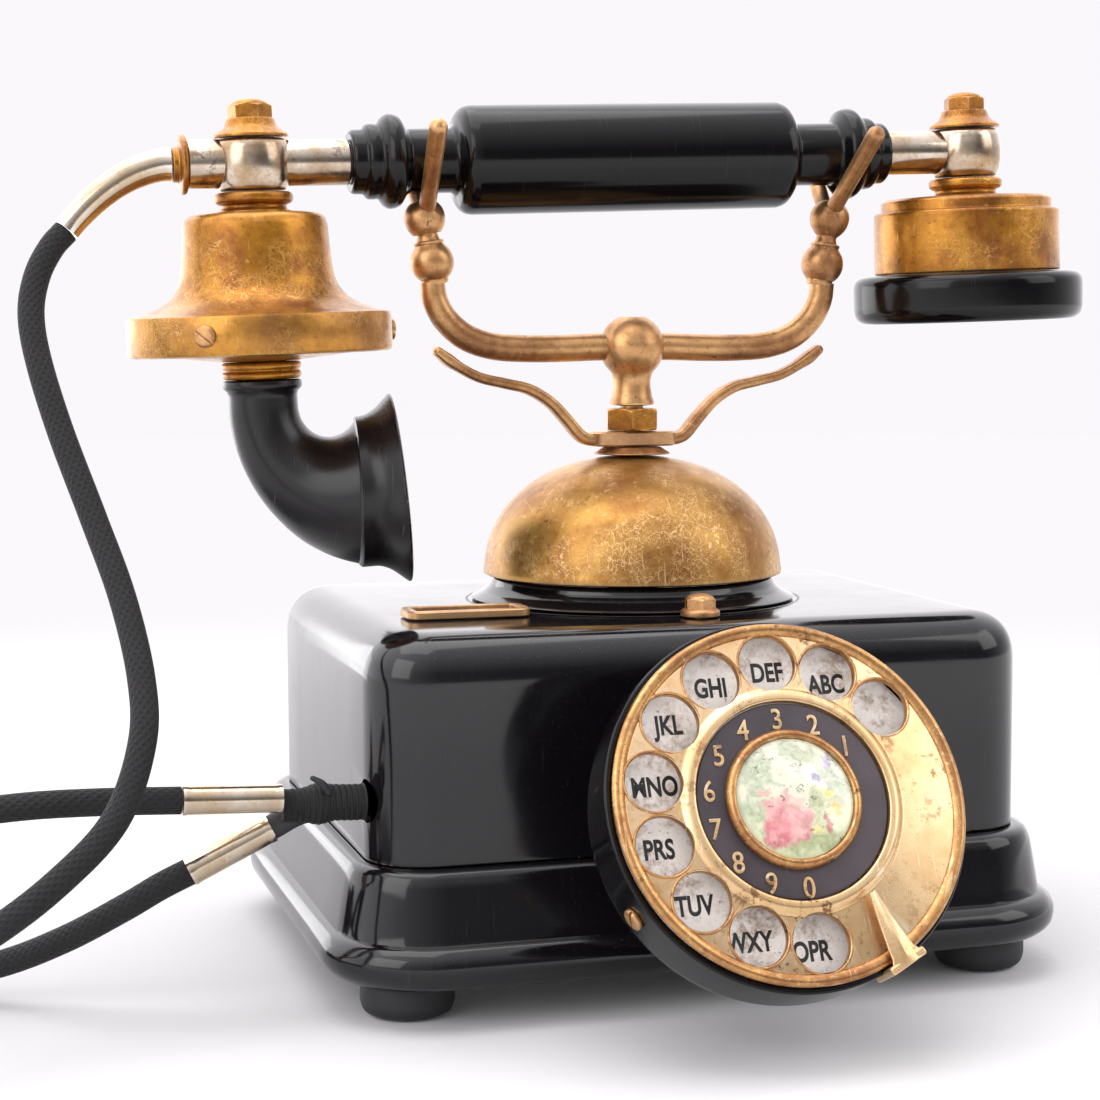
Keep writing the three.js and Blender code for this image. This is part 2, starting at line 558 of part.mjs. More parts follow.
// ---------- cords ----------
// Upper end at the handset sleeve, lower end at the base sleeve; 0.68 m of braided cord, with one and a half
// loose turns on the table to the left.
const HANDSET_FALL = [
  [-134.8, 0, 171.6], [-138.2, -0.8, 167.8], [-141.6, -3, 161.4], [-143.3, -6.4, 153], [-142.2, -11.6, 142.4],
  [-138.4, -20, 127], [-132.8, -31, 109], [-128, -43, 92.4], [-125.6, -54.6, 76.4], [-126.6, -62.6, 64.2],
  [-133, -69.6, 50], [-145.4, -74.6, 38.8], [-160, -77.4, 29.4], [-177, -78.8, 21.4], [-195, -79, 16],
];
const HANDSET_RETURN = [
  [-190, -7.6, 3.5], [-172, -12, 4.6], [-154.6, -21.6, 9.4], [-141, -32, 16.6], [-129, -40.4, 24.6],
  [-121.4, -44.4, 29.8],
];
const LOWER_SLEEVE = { from: [-97.5, -47, 41.7], to: [-115.2, -45.9, 33] };
const LINE_SLEEVE = { from: [-96.1, -52.3, 49.1], to: [-117.4, -52.8, 50] };
const LINE_FALL = [
  [-117.7, -52.8, 50], [-134, -53.2, 50.7], [-151, -51.8, 50.4], [-165.6, -46.8, 47.8], [-176.4, -36, 41.4],
  [-181, -21.6, 32.4], [-180.2, -6, 21.6], [-177.4, 8, 12.6], [-174.6, 21.4, 7],
];

function handsetLoop() {
  const turn = [];
  const steps = Math.round(HANDSET_LOOP.turns * 10);
  const drop = HANDSET_LOOP.topZ - 3.5;
  for (let i = 0; i <= steps; i += 1) {
    const angle = rad(-90 - (360 * HANDSET_LOOP.turns * i) / steps);
    turn.push([HANDSET_LOOP.x + HANDSET_LOOP.radius * Math.cos(angle),
      HANDSET_LOOP.y + HANDSET_LOOP.radius * Math.sin(angle), HANDSET_LOOP.topZ - (drop * i) / steps]);
  }
  return turn;
}

function towards(from, to, distance) {
  const start = new THREE.Vector3(...from);
  const way = new THREE.Vector3(...to).sub(start).normalize();
  return start.addScaledVector(way, distance).toArray();
}

function handsetCord() {
  const end = towards(LOWER_SLEEVE.to, LOWER_SLEEVE.from, -3 * GAP);
  return bar([...HANDSET_FALL, ...handsetLoop(), ...HANDSET_RETURN, end], CORD.radius, 56, CORD.sides);
}

function baseSleeve({ from, to }) {
  return bar([from, to], 3.15, 1, 12);
}

function cordBinding() {
  const section = new THREE.Shape().absellipse(0, 0, 4.6, 5.2, 0, 2 * Math.PI);
  return new THREE.ExtrudeGeometry(section, { depth: 18.2, bevelEnabled: false, curveSegments: 7 })
    .rotateY(-Math.PI / 2).translate(-HALF.x - GAP, ENTRY.y, ENTRY.z);
}

function lineCoil() {
  const { radius, bundle, height } = LINE_COIL;
  const inner = radius - bundle;
  const outer = radius + bundle;
  return turned([[inner, 3], [inner + 3, 0.2], [outer - 3, 0.2], [outer, 3], [outer, height - 3],
    [outer - 3, height], [inner + 3, height], [inner, height - 3]], 20);
}

function linePlug() {
  const body = turned([[0, 0], [3.6, 0], [4.4, 7], [9, 11], [12.4, 13.4], [14, 16], [14, 27], [13, 28], [0, 28]], 18);
  const pins = [-1, 1].map((side) => cylinder(2.3, 27, 46, 10).translate(0, side * 9.2, 0));
  const { x, y, radius } = LINE_COIL;
  return join(body, ...pins).rotateY(-Math.PI / 2).translate(x - radius + 5, y + radius + 8.2, 14.3);
}

// ---------- assembly ----------
add('top_cover', topCover(), 'enamel');
add('plinth', moulding(PLINTH_PROFILE), 'enamel');
add('base_plate', slab(HALF.x + 1.2, HALF.y + 1.2, CASE.corner + 1.2, PLATE_Z, 1.9), 'steel');
for (const [row, y] of [['front', -FOOT.y], ['rear', FOOT.y]]) {
  for (const [end, x] of [['left', -FOOT.x], ['right', FOOT.x]]) {
    add(`foot_${row}_${end}`, foot(), 'rubber', phone, [x, y, 0]);
  }
}
add('bell_pedestal', pedestal(), 'enamel');
add('gong', gong(), 'agedBrass');
add('gong_flange', gongFlange(), 'agedBrass');
add('guard_arms', guardArms(), 'copperBrass');
add('lock_nut', lockNut(), 'agedBrass');
add('top_bolt', topBolt(), 'copperBrass');
add('card_frame', cardFrame(), 'copperBrass');
add('dial_cup', dialCup(), 'bakelite');
add('dial_cup_screw', turned([[0, 39.5], [2.4, 39.5], [2.2, 40.4], [0, 40.8]], 16)
  .rotateY(Math.PI / 2).translate(0, 0, -9).rotateZ(rad(CUP_SCREW_ANGLE)), 'copperBrass', dial);
add('dial_chassis', dialChassis(), 'steel', dial);
add('letter_plate', turned([[3.4, -6.1], [37, -6.1], [37, -5.3], [3.4, -5.3]], 22), 'whiteEnamel', dial);
add('finger_stop', fingerStop(), 'gold', dial);
add('ringer_frame', ringerFrame(), 'steel');
add('ringer_coil_left', ringerCoil(), 'coilTape', phone, [CLAPPER.x - 10, 0, 0]);
add('ringer_coil_right', ringerCoil(), 'coilTape', phone, [CLAPPER.x + 10, 0, 0]);
add('hook_switch', hookSwitch(), 'fibre');
add('terminal_block', terminalBlock(), 'fibre');
add('cradle_plunger', cradlePlunger(), 'agedBrass');
add('cradle_bar', cradleBar(), 'copperBrass');
add('fork_left', fork(FORK_LEFT), 'copperBrass');
add('fork_right', fork(FORK_RIGHT), 'copperBrass');
add('finger_wheel', fingerWheel(), 'gold', dial);
add('number_disc', turned([[0, -0.1], [20.6, -0.1], [20.6, 0.6], [20.2, 0.9], [0, 0.9]], 20), 'violetEnamel', dial);
add('medallion_bezel', turned([[12.7, 1.2], [14.6, 1.2], [14.6, 2.2], [13.9, 3], [12.9, 3], [12.7, 2.4]], 18),
  'copperBrass', dial);
add('medallion', turned([[0, 1.2], [12.4, 1.2], [12.4, 2.2], [9.6, 3], [5.4, 3.6], [0, 3.9]], 18), 'porcelain', dial);
add('dial_spindle', dialSpindle(), 'agedBrass', dial);
add('governor', governor(), 'agedBrass', dial, [(GEAR.module * (GEAR.teeth + GEAR.pinion)) / 2 + 0.3, 0, 0]);
add('clapper', clapper(), 'agedBrass');
add('grip', grip(), 'bakelite', handset);
add('tie_rod', turnedAlongX([[0, -77], [3.6, -77], [3.6, 77], [0, 77]], 16), 'steel', handset);
const ENDS = [['transmitter', -1], ['receiver', 1]];
for (const [name, side] of ENDS) {
  const at = [side * HANDSET.knuckle, 0, 0];
  add(`${name}_knuckle`, knuckle(side), 'nickel', handset);
  add(`${name}_cap_nut`, capNut(side * 0.3), 'agedBrass', handset, at);
  add(`${name}_ring`, housingRing(), 'agedBrass', handset, at);
}
const TRANSMITTER = [-HANDSET.knuckle, 0, 0];
const RECEIVER = [HANDSET.knuckle, 0, 0];
add('transmitter_housing', transmitterHousing(), 'agedBrass', handset, TRANSMITTER);
add('transmitter_plate', transmitterPlate(), 'agedBrass', handset, TRANSMITTER);
add('transmitter_collar', transmitterCollar(), 'agedBrass', handset, TRANSMITTER);
add('mouthpiece', mouthpiece(), 'bakelite', handset, TRANSMITTER);
add('carbon_capsule', carbonCapsule(), 'steel', handset, TRANSMITTER);
add('receiver_cup', receiverCup(), 'agedBrass', handset, RECEIVER);
add('ear_cap', earCap(), 'bakelite', handset, RECEIVER);
add('receiver_unit', receiverUnit(), 'steel', handset, RECEIVER);
add('cord_gland', cordGland(), 'agedBrass', handset);
add('handset_sleeve', handsetSleeve(), 'nickel', handset);
add('handset_cord', handsetCord(), 'cloth');
add('handset_base_sleeve', baseSleeve(LOWER_SLEEVE), 'nickel');
add('cord_binding', cordBinding(), 'cloth');
add('line_sleeve', baseSleeve(LINE_SLEEVE), 'nickel');
add('line_cord', bar(LINE_FALL, CORD.radius, 14, CORD.sides), 'cloth');
add('line_coil', lineCoil(), 'cloth', phone, [LINE_COIL.x, LINE_COIL.y, 0]);
add('line_plug', linePlug(), 'bakelite');

// The origin: under the middle of everything but the cords.
const ON_CORDS = new Set(['handset_sleeve', 'handset_cord', 'handset_base_sleeve', 'cord_binding', 'line_sleeve',
  'line_cord', 'line_coil', 'line_plug']);
phone.updateMatrixWorld(true);
const reach = new THREE.Box3();
phone.traverse((piece) => {
  if (piece.isMesh && !ON_CORDS.has(piece.name)) reach.expandByObject(piece, true);
});
const middle = reach.getCenter(new THREE.Vector3());
phone.position.set(-middle.x, -middle.y, -reach.min.z);

const group = new THREE.Group();
group.add(phone);
export default group;
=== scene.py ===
"""French-style cradle telephone: the looks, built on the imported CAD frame.

Shapes are written in millimetres about the gong's axis, with the table at z = 0, and a matrix puts them in
the row frame. The dial and the handset each have a frame of their own.
"""
import json
import math

import bmesh
import bpy
from mathutils import Matrix, Vector, noise
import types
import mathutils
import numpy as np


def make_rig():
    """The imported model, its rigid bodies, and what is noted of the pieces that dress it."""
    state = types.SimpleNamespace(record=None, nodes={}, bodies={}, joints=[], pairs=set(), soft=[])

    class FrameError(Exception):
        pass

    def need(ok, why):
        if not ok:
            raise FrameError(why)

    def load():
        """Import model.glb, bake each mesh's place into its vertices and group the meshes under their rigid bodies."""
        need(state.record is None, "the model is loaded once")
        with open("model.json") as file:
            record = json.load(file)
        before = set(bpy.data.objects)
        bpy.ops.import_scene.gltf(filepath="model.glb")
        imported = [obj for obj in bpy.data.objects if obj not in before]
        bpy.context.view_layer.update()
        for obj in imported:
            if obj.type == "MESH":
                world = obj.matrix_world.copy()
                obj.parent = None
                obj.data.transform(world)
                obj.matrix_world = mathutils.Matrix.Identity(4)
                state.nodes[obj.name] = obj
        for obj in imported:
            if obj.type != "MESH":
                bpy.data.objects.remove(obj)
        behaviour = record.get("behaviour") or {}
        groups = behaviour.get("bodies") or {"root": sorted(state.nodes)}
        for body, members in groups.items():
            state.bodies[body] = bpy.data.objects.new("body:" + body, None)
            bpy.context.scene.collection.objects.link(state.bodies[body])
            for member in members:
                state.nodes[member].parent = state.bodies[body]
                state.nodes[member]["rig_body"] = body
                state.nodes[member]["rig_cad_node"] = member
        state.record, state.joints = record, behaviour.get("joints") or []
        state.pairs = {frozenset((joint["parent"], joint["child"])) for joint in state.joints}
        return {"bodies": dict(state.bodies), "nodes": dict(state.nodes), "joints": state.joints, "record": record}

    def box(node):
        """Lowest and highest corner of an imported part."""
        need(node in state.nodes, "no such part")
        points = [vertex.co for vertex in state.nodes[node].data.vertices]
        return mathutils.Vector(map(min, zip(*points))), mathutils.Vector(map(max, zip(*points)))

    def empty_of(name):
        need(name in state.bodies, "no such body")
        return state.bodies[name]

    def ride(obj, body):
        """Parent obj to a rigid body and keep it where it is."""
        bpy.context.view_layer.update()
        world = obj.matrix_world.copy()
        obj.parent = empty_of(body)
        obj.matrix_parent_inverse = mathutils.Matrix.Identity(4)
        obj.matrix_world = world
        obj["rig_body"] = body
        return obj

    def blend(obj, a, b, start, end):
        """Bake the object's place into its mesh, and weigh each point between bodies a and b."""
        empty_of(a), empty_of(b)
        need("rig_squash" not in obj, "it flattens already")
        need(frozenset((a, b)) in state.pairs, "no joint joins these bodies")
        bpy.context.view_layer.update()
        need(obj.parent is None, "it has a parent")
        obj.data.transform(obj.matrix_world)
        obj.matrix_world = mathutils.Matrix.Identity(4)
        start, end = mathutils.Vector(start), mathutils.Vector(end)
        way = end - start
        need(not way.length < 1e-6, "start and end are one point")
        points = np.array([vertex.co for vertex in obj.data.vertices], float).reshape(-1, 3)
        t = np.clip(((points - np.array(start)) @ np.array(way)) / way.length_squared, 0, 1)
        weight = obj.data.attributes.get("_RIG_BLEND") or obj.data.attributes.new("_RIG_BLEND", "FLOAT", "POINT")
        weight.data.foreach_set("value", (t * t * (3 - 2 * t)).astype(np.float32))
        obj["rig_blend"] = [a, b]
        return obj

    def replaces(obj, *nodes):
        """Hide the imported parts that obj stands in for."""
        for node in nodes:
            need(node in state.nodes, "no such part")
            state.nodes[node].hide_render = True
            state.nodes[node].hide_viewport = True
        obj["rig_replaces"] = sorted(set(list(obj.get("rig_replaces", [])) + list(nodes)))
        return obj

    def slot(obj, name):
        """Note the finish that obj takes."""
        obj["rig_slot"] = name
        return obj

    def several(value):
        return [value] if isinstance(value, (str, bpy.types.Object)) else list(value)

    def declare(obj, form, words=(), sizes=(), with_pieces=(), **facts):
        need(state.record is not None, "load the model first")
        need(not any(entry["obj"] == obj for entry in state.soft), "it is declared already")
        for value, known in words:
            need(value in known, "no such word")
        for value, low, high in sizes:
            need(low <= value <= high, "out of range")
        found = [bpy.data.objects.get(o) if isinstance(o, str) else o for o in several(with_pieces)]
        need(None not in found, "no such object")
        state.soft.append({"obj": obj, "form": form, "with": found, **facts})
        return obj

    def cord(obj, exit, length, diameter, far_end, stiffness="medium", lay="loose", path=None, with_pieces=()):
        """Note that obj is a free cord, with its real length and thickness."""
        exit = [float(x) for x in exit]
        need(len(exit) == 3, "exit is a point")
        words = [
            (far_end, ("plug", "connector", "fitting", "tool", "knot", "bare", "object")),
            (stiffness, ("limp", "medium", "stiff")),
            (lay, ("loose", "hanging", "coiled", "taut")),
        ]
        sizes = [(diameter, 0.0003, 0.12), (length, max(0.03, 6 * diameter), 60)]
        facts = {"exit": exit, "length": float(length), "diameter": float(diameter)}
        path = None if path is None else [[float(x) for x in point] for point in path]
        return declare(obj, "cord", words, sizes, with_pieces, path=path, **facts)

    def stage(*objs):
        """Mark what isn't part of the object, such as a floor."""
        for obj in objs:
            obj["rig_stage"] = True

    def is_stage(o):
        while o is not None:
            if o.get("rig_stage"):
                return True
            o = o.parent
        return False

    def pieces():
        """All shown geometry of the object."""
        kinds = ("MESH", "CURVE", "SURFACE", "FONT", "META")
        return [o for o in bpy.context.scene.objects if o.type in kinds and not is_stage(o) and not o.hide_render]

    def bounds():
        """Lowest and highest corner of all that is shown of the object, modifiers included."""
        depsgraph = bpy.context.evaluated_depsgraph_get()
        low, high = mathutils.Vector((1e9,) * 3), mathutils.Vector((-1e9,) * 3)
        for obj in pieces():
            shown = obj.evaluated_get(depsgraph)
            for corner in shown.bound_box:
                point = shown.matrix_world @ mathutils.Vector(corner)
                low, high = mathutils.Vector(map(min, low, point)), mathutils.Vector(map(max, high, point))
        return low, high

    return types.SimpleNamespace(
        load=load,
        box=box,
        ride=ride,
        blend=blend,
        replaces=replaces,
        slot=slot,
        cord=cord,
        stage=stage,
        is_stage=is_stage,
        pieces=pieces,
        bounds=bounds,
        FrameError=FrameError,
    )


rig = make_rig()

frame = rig.load()
cad_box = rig.bounds()
NODES = frame["nodes"]


def slide(x, y, z):
    return Matrix.Translation((x, y, z))


def rotation(degrees, axis):
    return Matrix.Rotation(math.radians(degrees), 4, axis)


def put(name, data):
    """A new object, linked to the scene."""
    made = bpy.data.objects.new(name, data)
    bpy.context.scene.collection.objects.link(made)
    return made


def facing(way):
    """The turn that points a camera or lamp along a direction."""
    return way.to_track_quat("-Z", "Y").to_matrix().to_4x4()


# ---------- frames ----------
low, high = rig.box("gong")
BELL = slide((low.x + high.x) / 2, (low.y + high.y) / 2, 0) @ Matrix.Scale(0.001, 4)
DIAL = BELL @ slide(0, -104.9, 52.9) @ rotation(90 - 25.6, "X")
HANDSET = BELL @ slide(-2, 0, 190.4) @ rotation(-1.85, "Y")
TRANSMITTER = HANDSET @ slide(-90.2, 0, 0)
RECEIVER = HANDSET @ slide(90.2, 0, 0)
ALONG_X = rotation(90, "Y")
HALF_X, HALF_Y, CORNER = 77.3, 61.5, 14
CLAPPER_HOLE_X = -28.6
BOLT = (1.8, -44.5)
ENTRY_Y, ENTRY_Z = -49.6, 46.9
HOLE_RING, FIRST_HOLE, HOLE_STEP = 29.5, 39.3, 25.95
BALL_Z = 144.9
BAR_END_X, BEAD_Z, BAR_LEAN = 49.7, 165.1, 9.5
NECK_BOTTOM = -49.8
GONG_RIM_Z = 89.9
BACKDROP = 0.965


# ---------- camera ----------
def camera():
    data = bpy.data.cameras.new("camera")
    data.lens = 76.8
    data.sensor_width = 36
    made = put("camera", data)
    yaw, pitch = math.radians(16.05), math.radians(5.21)
    forward = Vector((math.sin(yaw) * math.cos(pitch), math.cos(yaw) * math.cos(pitch), -math.sin(pitch)))
    turn = facing(forward) @ rotation(-0.23, "Z")
    made.matrix_world = Matrix.Translation(BELL @ Vector((-177.8, -545.3, 147.6))) @ turn
    bpy.context.scene.camera = made


camera()


# ---------- materials ----------
def node(tree, kind, inputs=None, **settings):
    made = tree.nodes.new("ShaderNode" + kind)
    for key, value in settings.items():
        setattr(made, key, value)
    for key, value in (inputs or {}).items():
        socket = made.inputs[key]
        if isinstance(value, bpy.types.NodeSocket):
            tree.links.new(value, socket)
        else:
            socket.default_value = value
    return made


class Look:
    """A material under construction: small helpers that each return an output socket."""

    def __init__(self, name):
        self.material = bpy.data.materials.new(name)
        self.material.use_nodes = True
        self.tree = self.material.node_tree
        self.shader = self.tree.nodes["Principled BSDF"]
        self.place = node(self.tree, "TexCoord").outputs["Object"]

    def noise(self, scale, detail=4, roughness=0.55, stretch=(1, 1, 1), turn=(0, 0, 0), shift=(0, 0, 0)):
        place = node(self.tree, "Mapping", {
            "Vector": self.place, "Scale": stretch, "Rotation": turn, "Location": shift}).outputs[0]
        return node(self.tree, "TexNoise", {
            "Vector": place, "Scale": scale, "Detail": detail, "Roughness": roughness}).outputs[0]

    def span(self, value, start, end, low=0.0, high=1.0):
        return node(self.tree, "MapRange", {
            0: value, 1: start, 2: end, 3: low, 4: high}, clamp=True).outputs[0]

    def math(self, operation, a, b=0.0, c=0.0):
        return node(self.tree, "Math", {0: a, 1: b, 2: c}, operation=operation).outputs[0]

    def mix(self, factor, a, b):
        made = node(self.tree, "Mix", {0: factor}, data_type="RGBA")
        for index, value in ((6, a), (7, b)):
            if isinstance(value, bpy.types.NodeSocket):
                self.tree.links.new(value, made.inputs[index])
            else:
                made.inputs[index].default_value = (*value, 1)
        return made.outputs[2]

    def times(self, a, b):
        return self.math("MULTIPLY", a, b)

    def add(self, a, b):
        return self.math("ADD", a, b)

    def most(self, a, b):
        return self.math("MAXIMUM", a, b)

    def over(self, mask, amount, colour, tone):
        """The colour, with a share of the tone laid over it where the mask is."""
        return self.mix(self.times(mask, amount), colour, tone)

    def lines(self, scale, width, shift=(0, 0, 0)):
        """Thin wandering lines, as of crazing and hair scratches."""
        bend = node(self.tree, "TexNoise", {"Vector": self.place, "Scale": scale * 0.8, "Detail": 3.0})
        moved = node(self.tree, "VectorMath", {
            0: bend.outputs["Color"], 1: (0.02, 0.02, 0.02), 2: self.place}, operation="MULTIPLY_ADD").outputs[0]
        moved = node(self.tree, "VectorMath", {0: moved, 1: shift}, operation="ADD").outputs[0]
        edge = node(self.tree, "TexVoronoi", {"Vector": moved, "Scale": scale}, feature="DISTANCE_TO_EDGE").outputs[0]
        return self.span(edge, 0, width, 1, 0)

    def streaks(self, scale, turn, cover=0.62):
        """Straight scratches in one direction, in patches."""
        fine = self.noise(scale, 2, 0.5, (1, 0.012, 0.03), turn)
        patch = self.noise(90, 3, 0.6, shift=(3.1, turn[2], 0))
        return self.times(self.span(fine, cover, cover + 0.03), self.span(patch, 0.46, 0.6))

    def edges(self, start=0.52, end=0.6):
        bend = node(self.tree, "NewGeometry").outputs["Pointiness"]
        return self.span(bend, start, end)

    def bump(self, height, depth, strength=1.0):
        made = node(self.tree, "Bump", {"Height": height, "Distance": depth, "Strength": strength})
        self.tree.links.new(made.outputs[0], self.shader.inputs["Normal"])

    def set(self, **values):
        for key, value in values.items():
            socket = self.shader.inputs[key.replace("_", " ")]
            if isinstance(value, bpy.types.NodeSocket):
                self.tree.links.new(value, socket)
            elif isinstance(value, tuple) and len(value) == 3:
                socket.default_value = (*value, 1)
            else:
                socket.default_value = value
        return self


def metal(name, base, dark, light, shine=(0.36, 0.52), patina=55, speckle=0.62, spots=None, shift=0.0, depth=0.8,
          metallic=0.8, scuffs=0.5, relief=0.6):
    """Old plated or lacquered metal: patina, speckle, pits, crossing scratches, brown spots and rubbed edges."""
    look = Look(name)
    large = look.noise(patina, 6, 0.66, shift=(shift, shift * 2, 0))
    fine = look.noise(patina * 9, 5, 0.7, shift=(0, shift, shift))
    colour = look.over(look.span(large, 0.42, 0.62), depth, base, dark)
    colour = look.over(look.span(fine, speckle - 0.08, speckle + 0.04), 0.5, colour, light)
    colour = look.over(look.span(fine, 0.44, 0.34), 0.5, colour, dark)
    if spots:
        mask = look.span(look.noise(210, 6, 0.75, shift=(shift, 1, 2)), spots[0], spots[0] + 0.03)
        mask = look.times(mask, look.span(look.noise(38, 2, 0.5, shift=(shift, 6, 2)), 0.4, 0.6))
        colour = look.over(mask, 0.9, colour, spots[1])
    pits = look.span(look.noise(1500, 2), 0.69, 0.74)
    scratch = look.most(look.streaks(2600, (0.2, 0.9, 0.9), 0.7), look.streaks(3100, (0.5, -0.7, -0.6), 0.7))
    if scuffs > 0.6:
        worn = look.span(look.noise(60, 4, 0.6, shift=(shift, 4, 0)), 0.47, 0.58)
        lines = look.most(look.lines(210, 0.035, (shift, 0, 0)), look.lines(430, 0.04, (0, shift, 0)))
        scratch = look.most(scratch, look.times(lines, worn))
    colour = look.over(scratch, scuffs, colour, light)
    colour = look.over(pits, 0.75, colour, tuple(c * 0.25 for c in dark))
    colour = look.over(look.edges(), 0.5, colour, light)
    rough = look.span(look.add(large, look.times(fine, 0.5)), 0.55, 0.95, *shine)
    height = look.math("SUBTRACT", look.times(fine, 0.4), look.add(pits, scratch))
    look.bump(height, 0.00004, relief)
    return look.set(Base_Color=colour, Metallic=metallic, Roughness=rough)


def gloss(name, base, shine=0.1, dust=0.35, wear=(0.2, 0.12, 0.08), scratch=0.5, groove=False, index=1.5):
    """Stove enamel or polished bakelite: black, with ripple, hair scratches, dust and a few chips."""
    look = Look(name)
    hair = look.most(look.streaks(2400, (0.1, 1.3, 0.4), 0.67), look.streaks(2900, (0.9, 0.4, -1.1), 0.68))
    hair = look.times(hair, scratch)
    grains = look.span(look.noise(2600, 2, 0.5), 0.67, 0.74)
    film = look.span(look.noise(45, 5, 0.65), 0.42, 0.72)
    up = look.span(node(look.tree, "SeparateXYZ", {0: node(look.tree, "NewGeometry").outputs["Normal"]}).outputs[2],
                   0.2, 0.95)
    grains = look.times(grains, look.add(look.times(up, 0.6), 0.12))
    chips = look.times(look.edges(0.54, 0.6), look.span(look.noise(210, 5, 0.7), 0.6, 0.64))
    colour = look.over(hair, 0.35, base, (0.25, 0.23, 0.23))
    colour = look.over(grains, dust, colour, (0.42, 0.38, 0.34))
    colour = look.mix(chips, colour, wear)
    rough = look.add(look.span(film, 0, 1, shine, shine + 0.06), look.times(hair, 0.3))
    rough = look.add(rough, look.times(grains, 0.25))
    height = look.add(look.times(look.noise(70, 2), 1.5), look.times(hair, -0.12))
    if groove:
        centre = BELL.translation
        flat = node(look.tree, "VectorMath", {0: look.place, 1: (centre.x, centre.y, 0)}, operation="SUBTRACT")
        flat = node(look.tree, "VectorMath", {0: flat.outputs[0], 1: (1, 1, 0)}, operation="MULTIPLY").outputs[0]
        away = node(look.tree, "VectorMath", {0: flat}, operation="LENGTH").outputs["Value"]
        near = look.span(look.math("ABSOLUTE", look.math("SUBTRACT", away, 0.0406)), 0.0001, 0.00045, 1, 0)
        near = look.times(near, up)
        colour = look.over(near, 0.8, colour, (0.09, 0.07, 0.06))
        height = look.math("SUBTRACT", height, look.times(near, 6))
        rough = look.add(rough, look.times(near, 0.3))
    look.bump(height, 0.00005, 0.5)
    return look.set(Base_Color=colour, Roughness=rough, IOR=index)


def dull(name, base, other, rough=0.7, scale=300, depth=0.0001, metallic=0.0):
    """Rubber, pressed fibre, plain steel and the like."""
    look = Look(name)
    large = look.noise(scale * 0.15, 5, 0.6)
    fine = look.noise(scale * 6, 3, 0.6)
    colour = look.mix(look.span(large, 0.38, 0.66), base, other)
    colour = look.over(look.span(fine, 0.6, 0.75), 0.3, colour, tuple(c * 1.8 for c in other))
    look.bump(fine, depth, 0.5)
    return look.set(Base_Color=colour, Metallic=metallic,
                    Roughness=look.span(large, 0.3, 0.7, rough - 0.08, rough + 0.08))


def cloth(name, around, along, base=(0.004, 0.0036, 0.0042), thread=(0.014, 0.0125, 0.014), depth=0.00025):
    """Braided or wrapped cotton. The UV map runs once round the cord, and along it in centimetres."""
    look = Look(name)
    uv = node(look.tree, "UVMap", uv_map="UVMap").outputs[0]
    parts = node(look.tree, "SeparateXYZ", {0: uv})
    turn = look.times(parts.outputs[0], around * 2 * math.pi)
    reach = look.times(parts.outputs[1], along * 2 * math.pi)
    first = look.math("SINE", look.add(turn, reach))
    second = look.math("SINE", look.math("SUBTRACT", turn, reach))
    weave = look.span(look.most(first, second), -0.6, 1)
    fuzz = look.noise(3800, 3, 0.7)
    fade = look.span(look.noise(60, 4, 0.6), 0.4, 0.7)
    colour = look.over(weave, look.span(fuzz, 0.3, 0.75), base, thread)
    colour = look.over(fade, 0.25, colour, tuple(c * 1.6 for c in thread))
    look.bump(look.add(weave, look.times(fuzz, 0.4)), depth, 0.9)
    return look.set(Base_Color=colour, Roughness=0.85, Sheen_Weight=0.02, Sheen_Roughness=0.4,
                    Sheen_Tint=(0.5, 0.48, 0.52))


def painted(name):
    """Glazed porcelain over the colours painted into the mesh, with fine crazing."""
    look = Look(name)
    paint = node(look.tree, "VertexColor", layer_name="paint").outputs[0]
    brush = look.noise(900, 4, 0.7)
    colour = look.over(look.span(brush, 0.5, 0.75), 0.15, paint, (0.72, 0.74, 0.62))
    strokes = look.times(look.span(look.noise(820, 5, 0.65, (1, 1.6, 1)), 0.58, 0.63),
                        look.span(look.noise(170, 3, 0.5, shift=(4, 2, 0)), 0.46, 0.58))
    colour = look.over(strokes, 0.75, colour, (0.05, 0.06, 0.055))
    colour = look.over(look.lines(420, 0.02), 0.2, colour, (0.2, 0.16, 0.1))
    look.bump(look.noise(260, 2), 0.00002, 0.4)
    return look.set(Base_Color=colour, Roughness=0.14, Coat_Weight=1.0, Coat_Roughness=0.04)


def stained(name, base, stain, rough):
    """White enamel with brown dirt that gathers in patches."""
    look = Look(name)
    patch = look.times(look.span(look.noise(120, 6, 0.75), 0.45, 0.6), look.span(look.noise(700, 4), 0.4, 0.6))
    spots = look.span(look.noise(1100, 2), 0.66, 0.72)
    colour = look.over(patch, 0.7, base, stain)
    colour = look.over(spots, 0.6, colour, tuple(c * 0.4 for c in stain))
    look.bump(look.noise(400, 3), 0.00002, 0.4)
    return look.set(Base_Color=colour, Roughness=look.span(patch, 0, 1, rough, rough + 0.3))


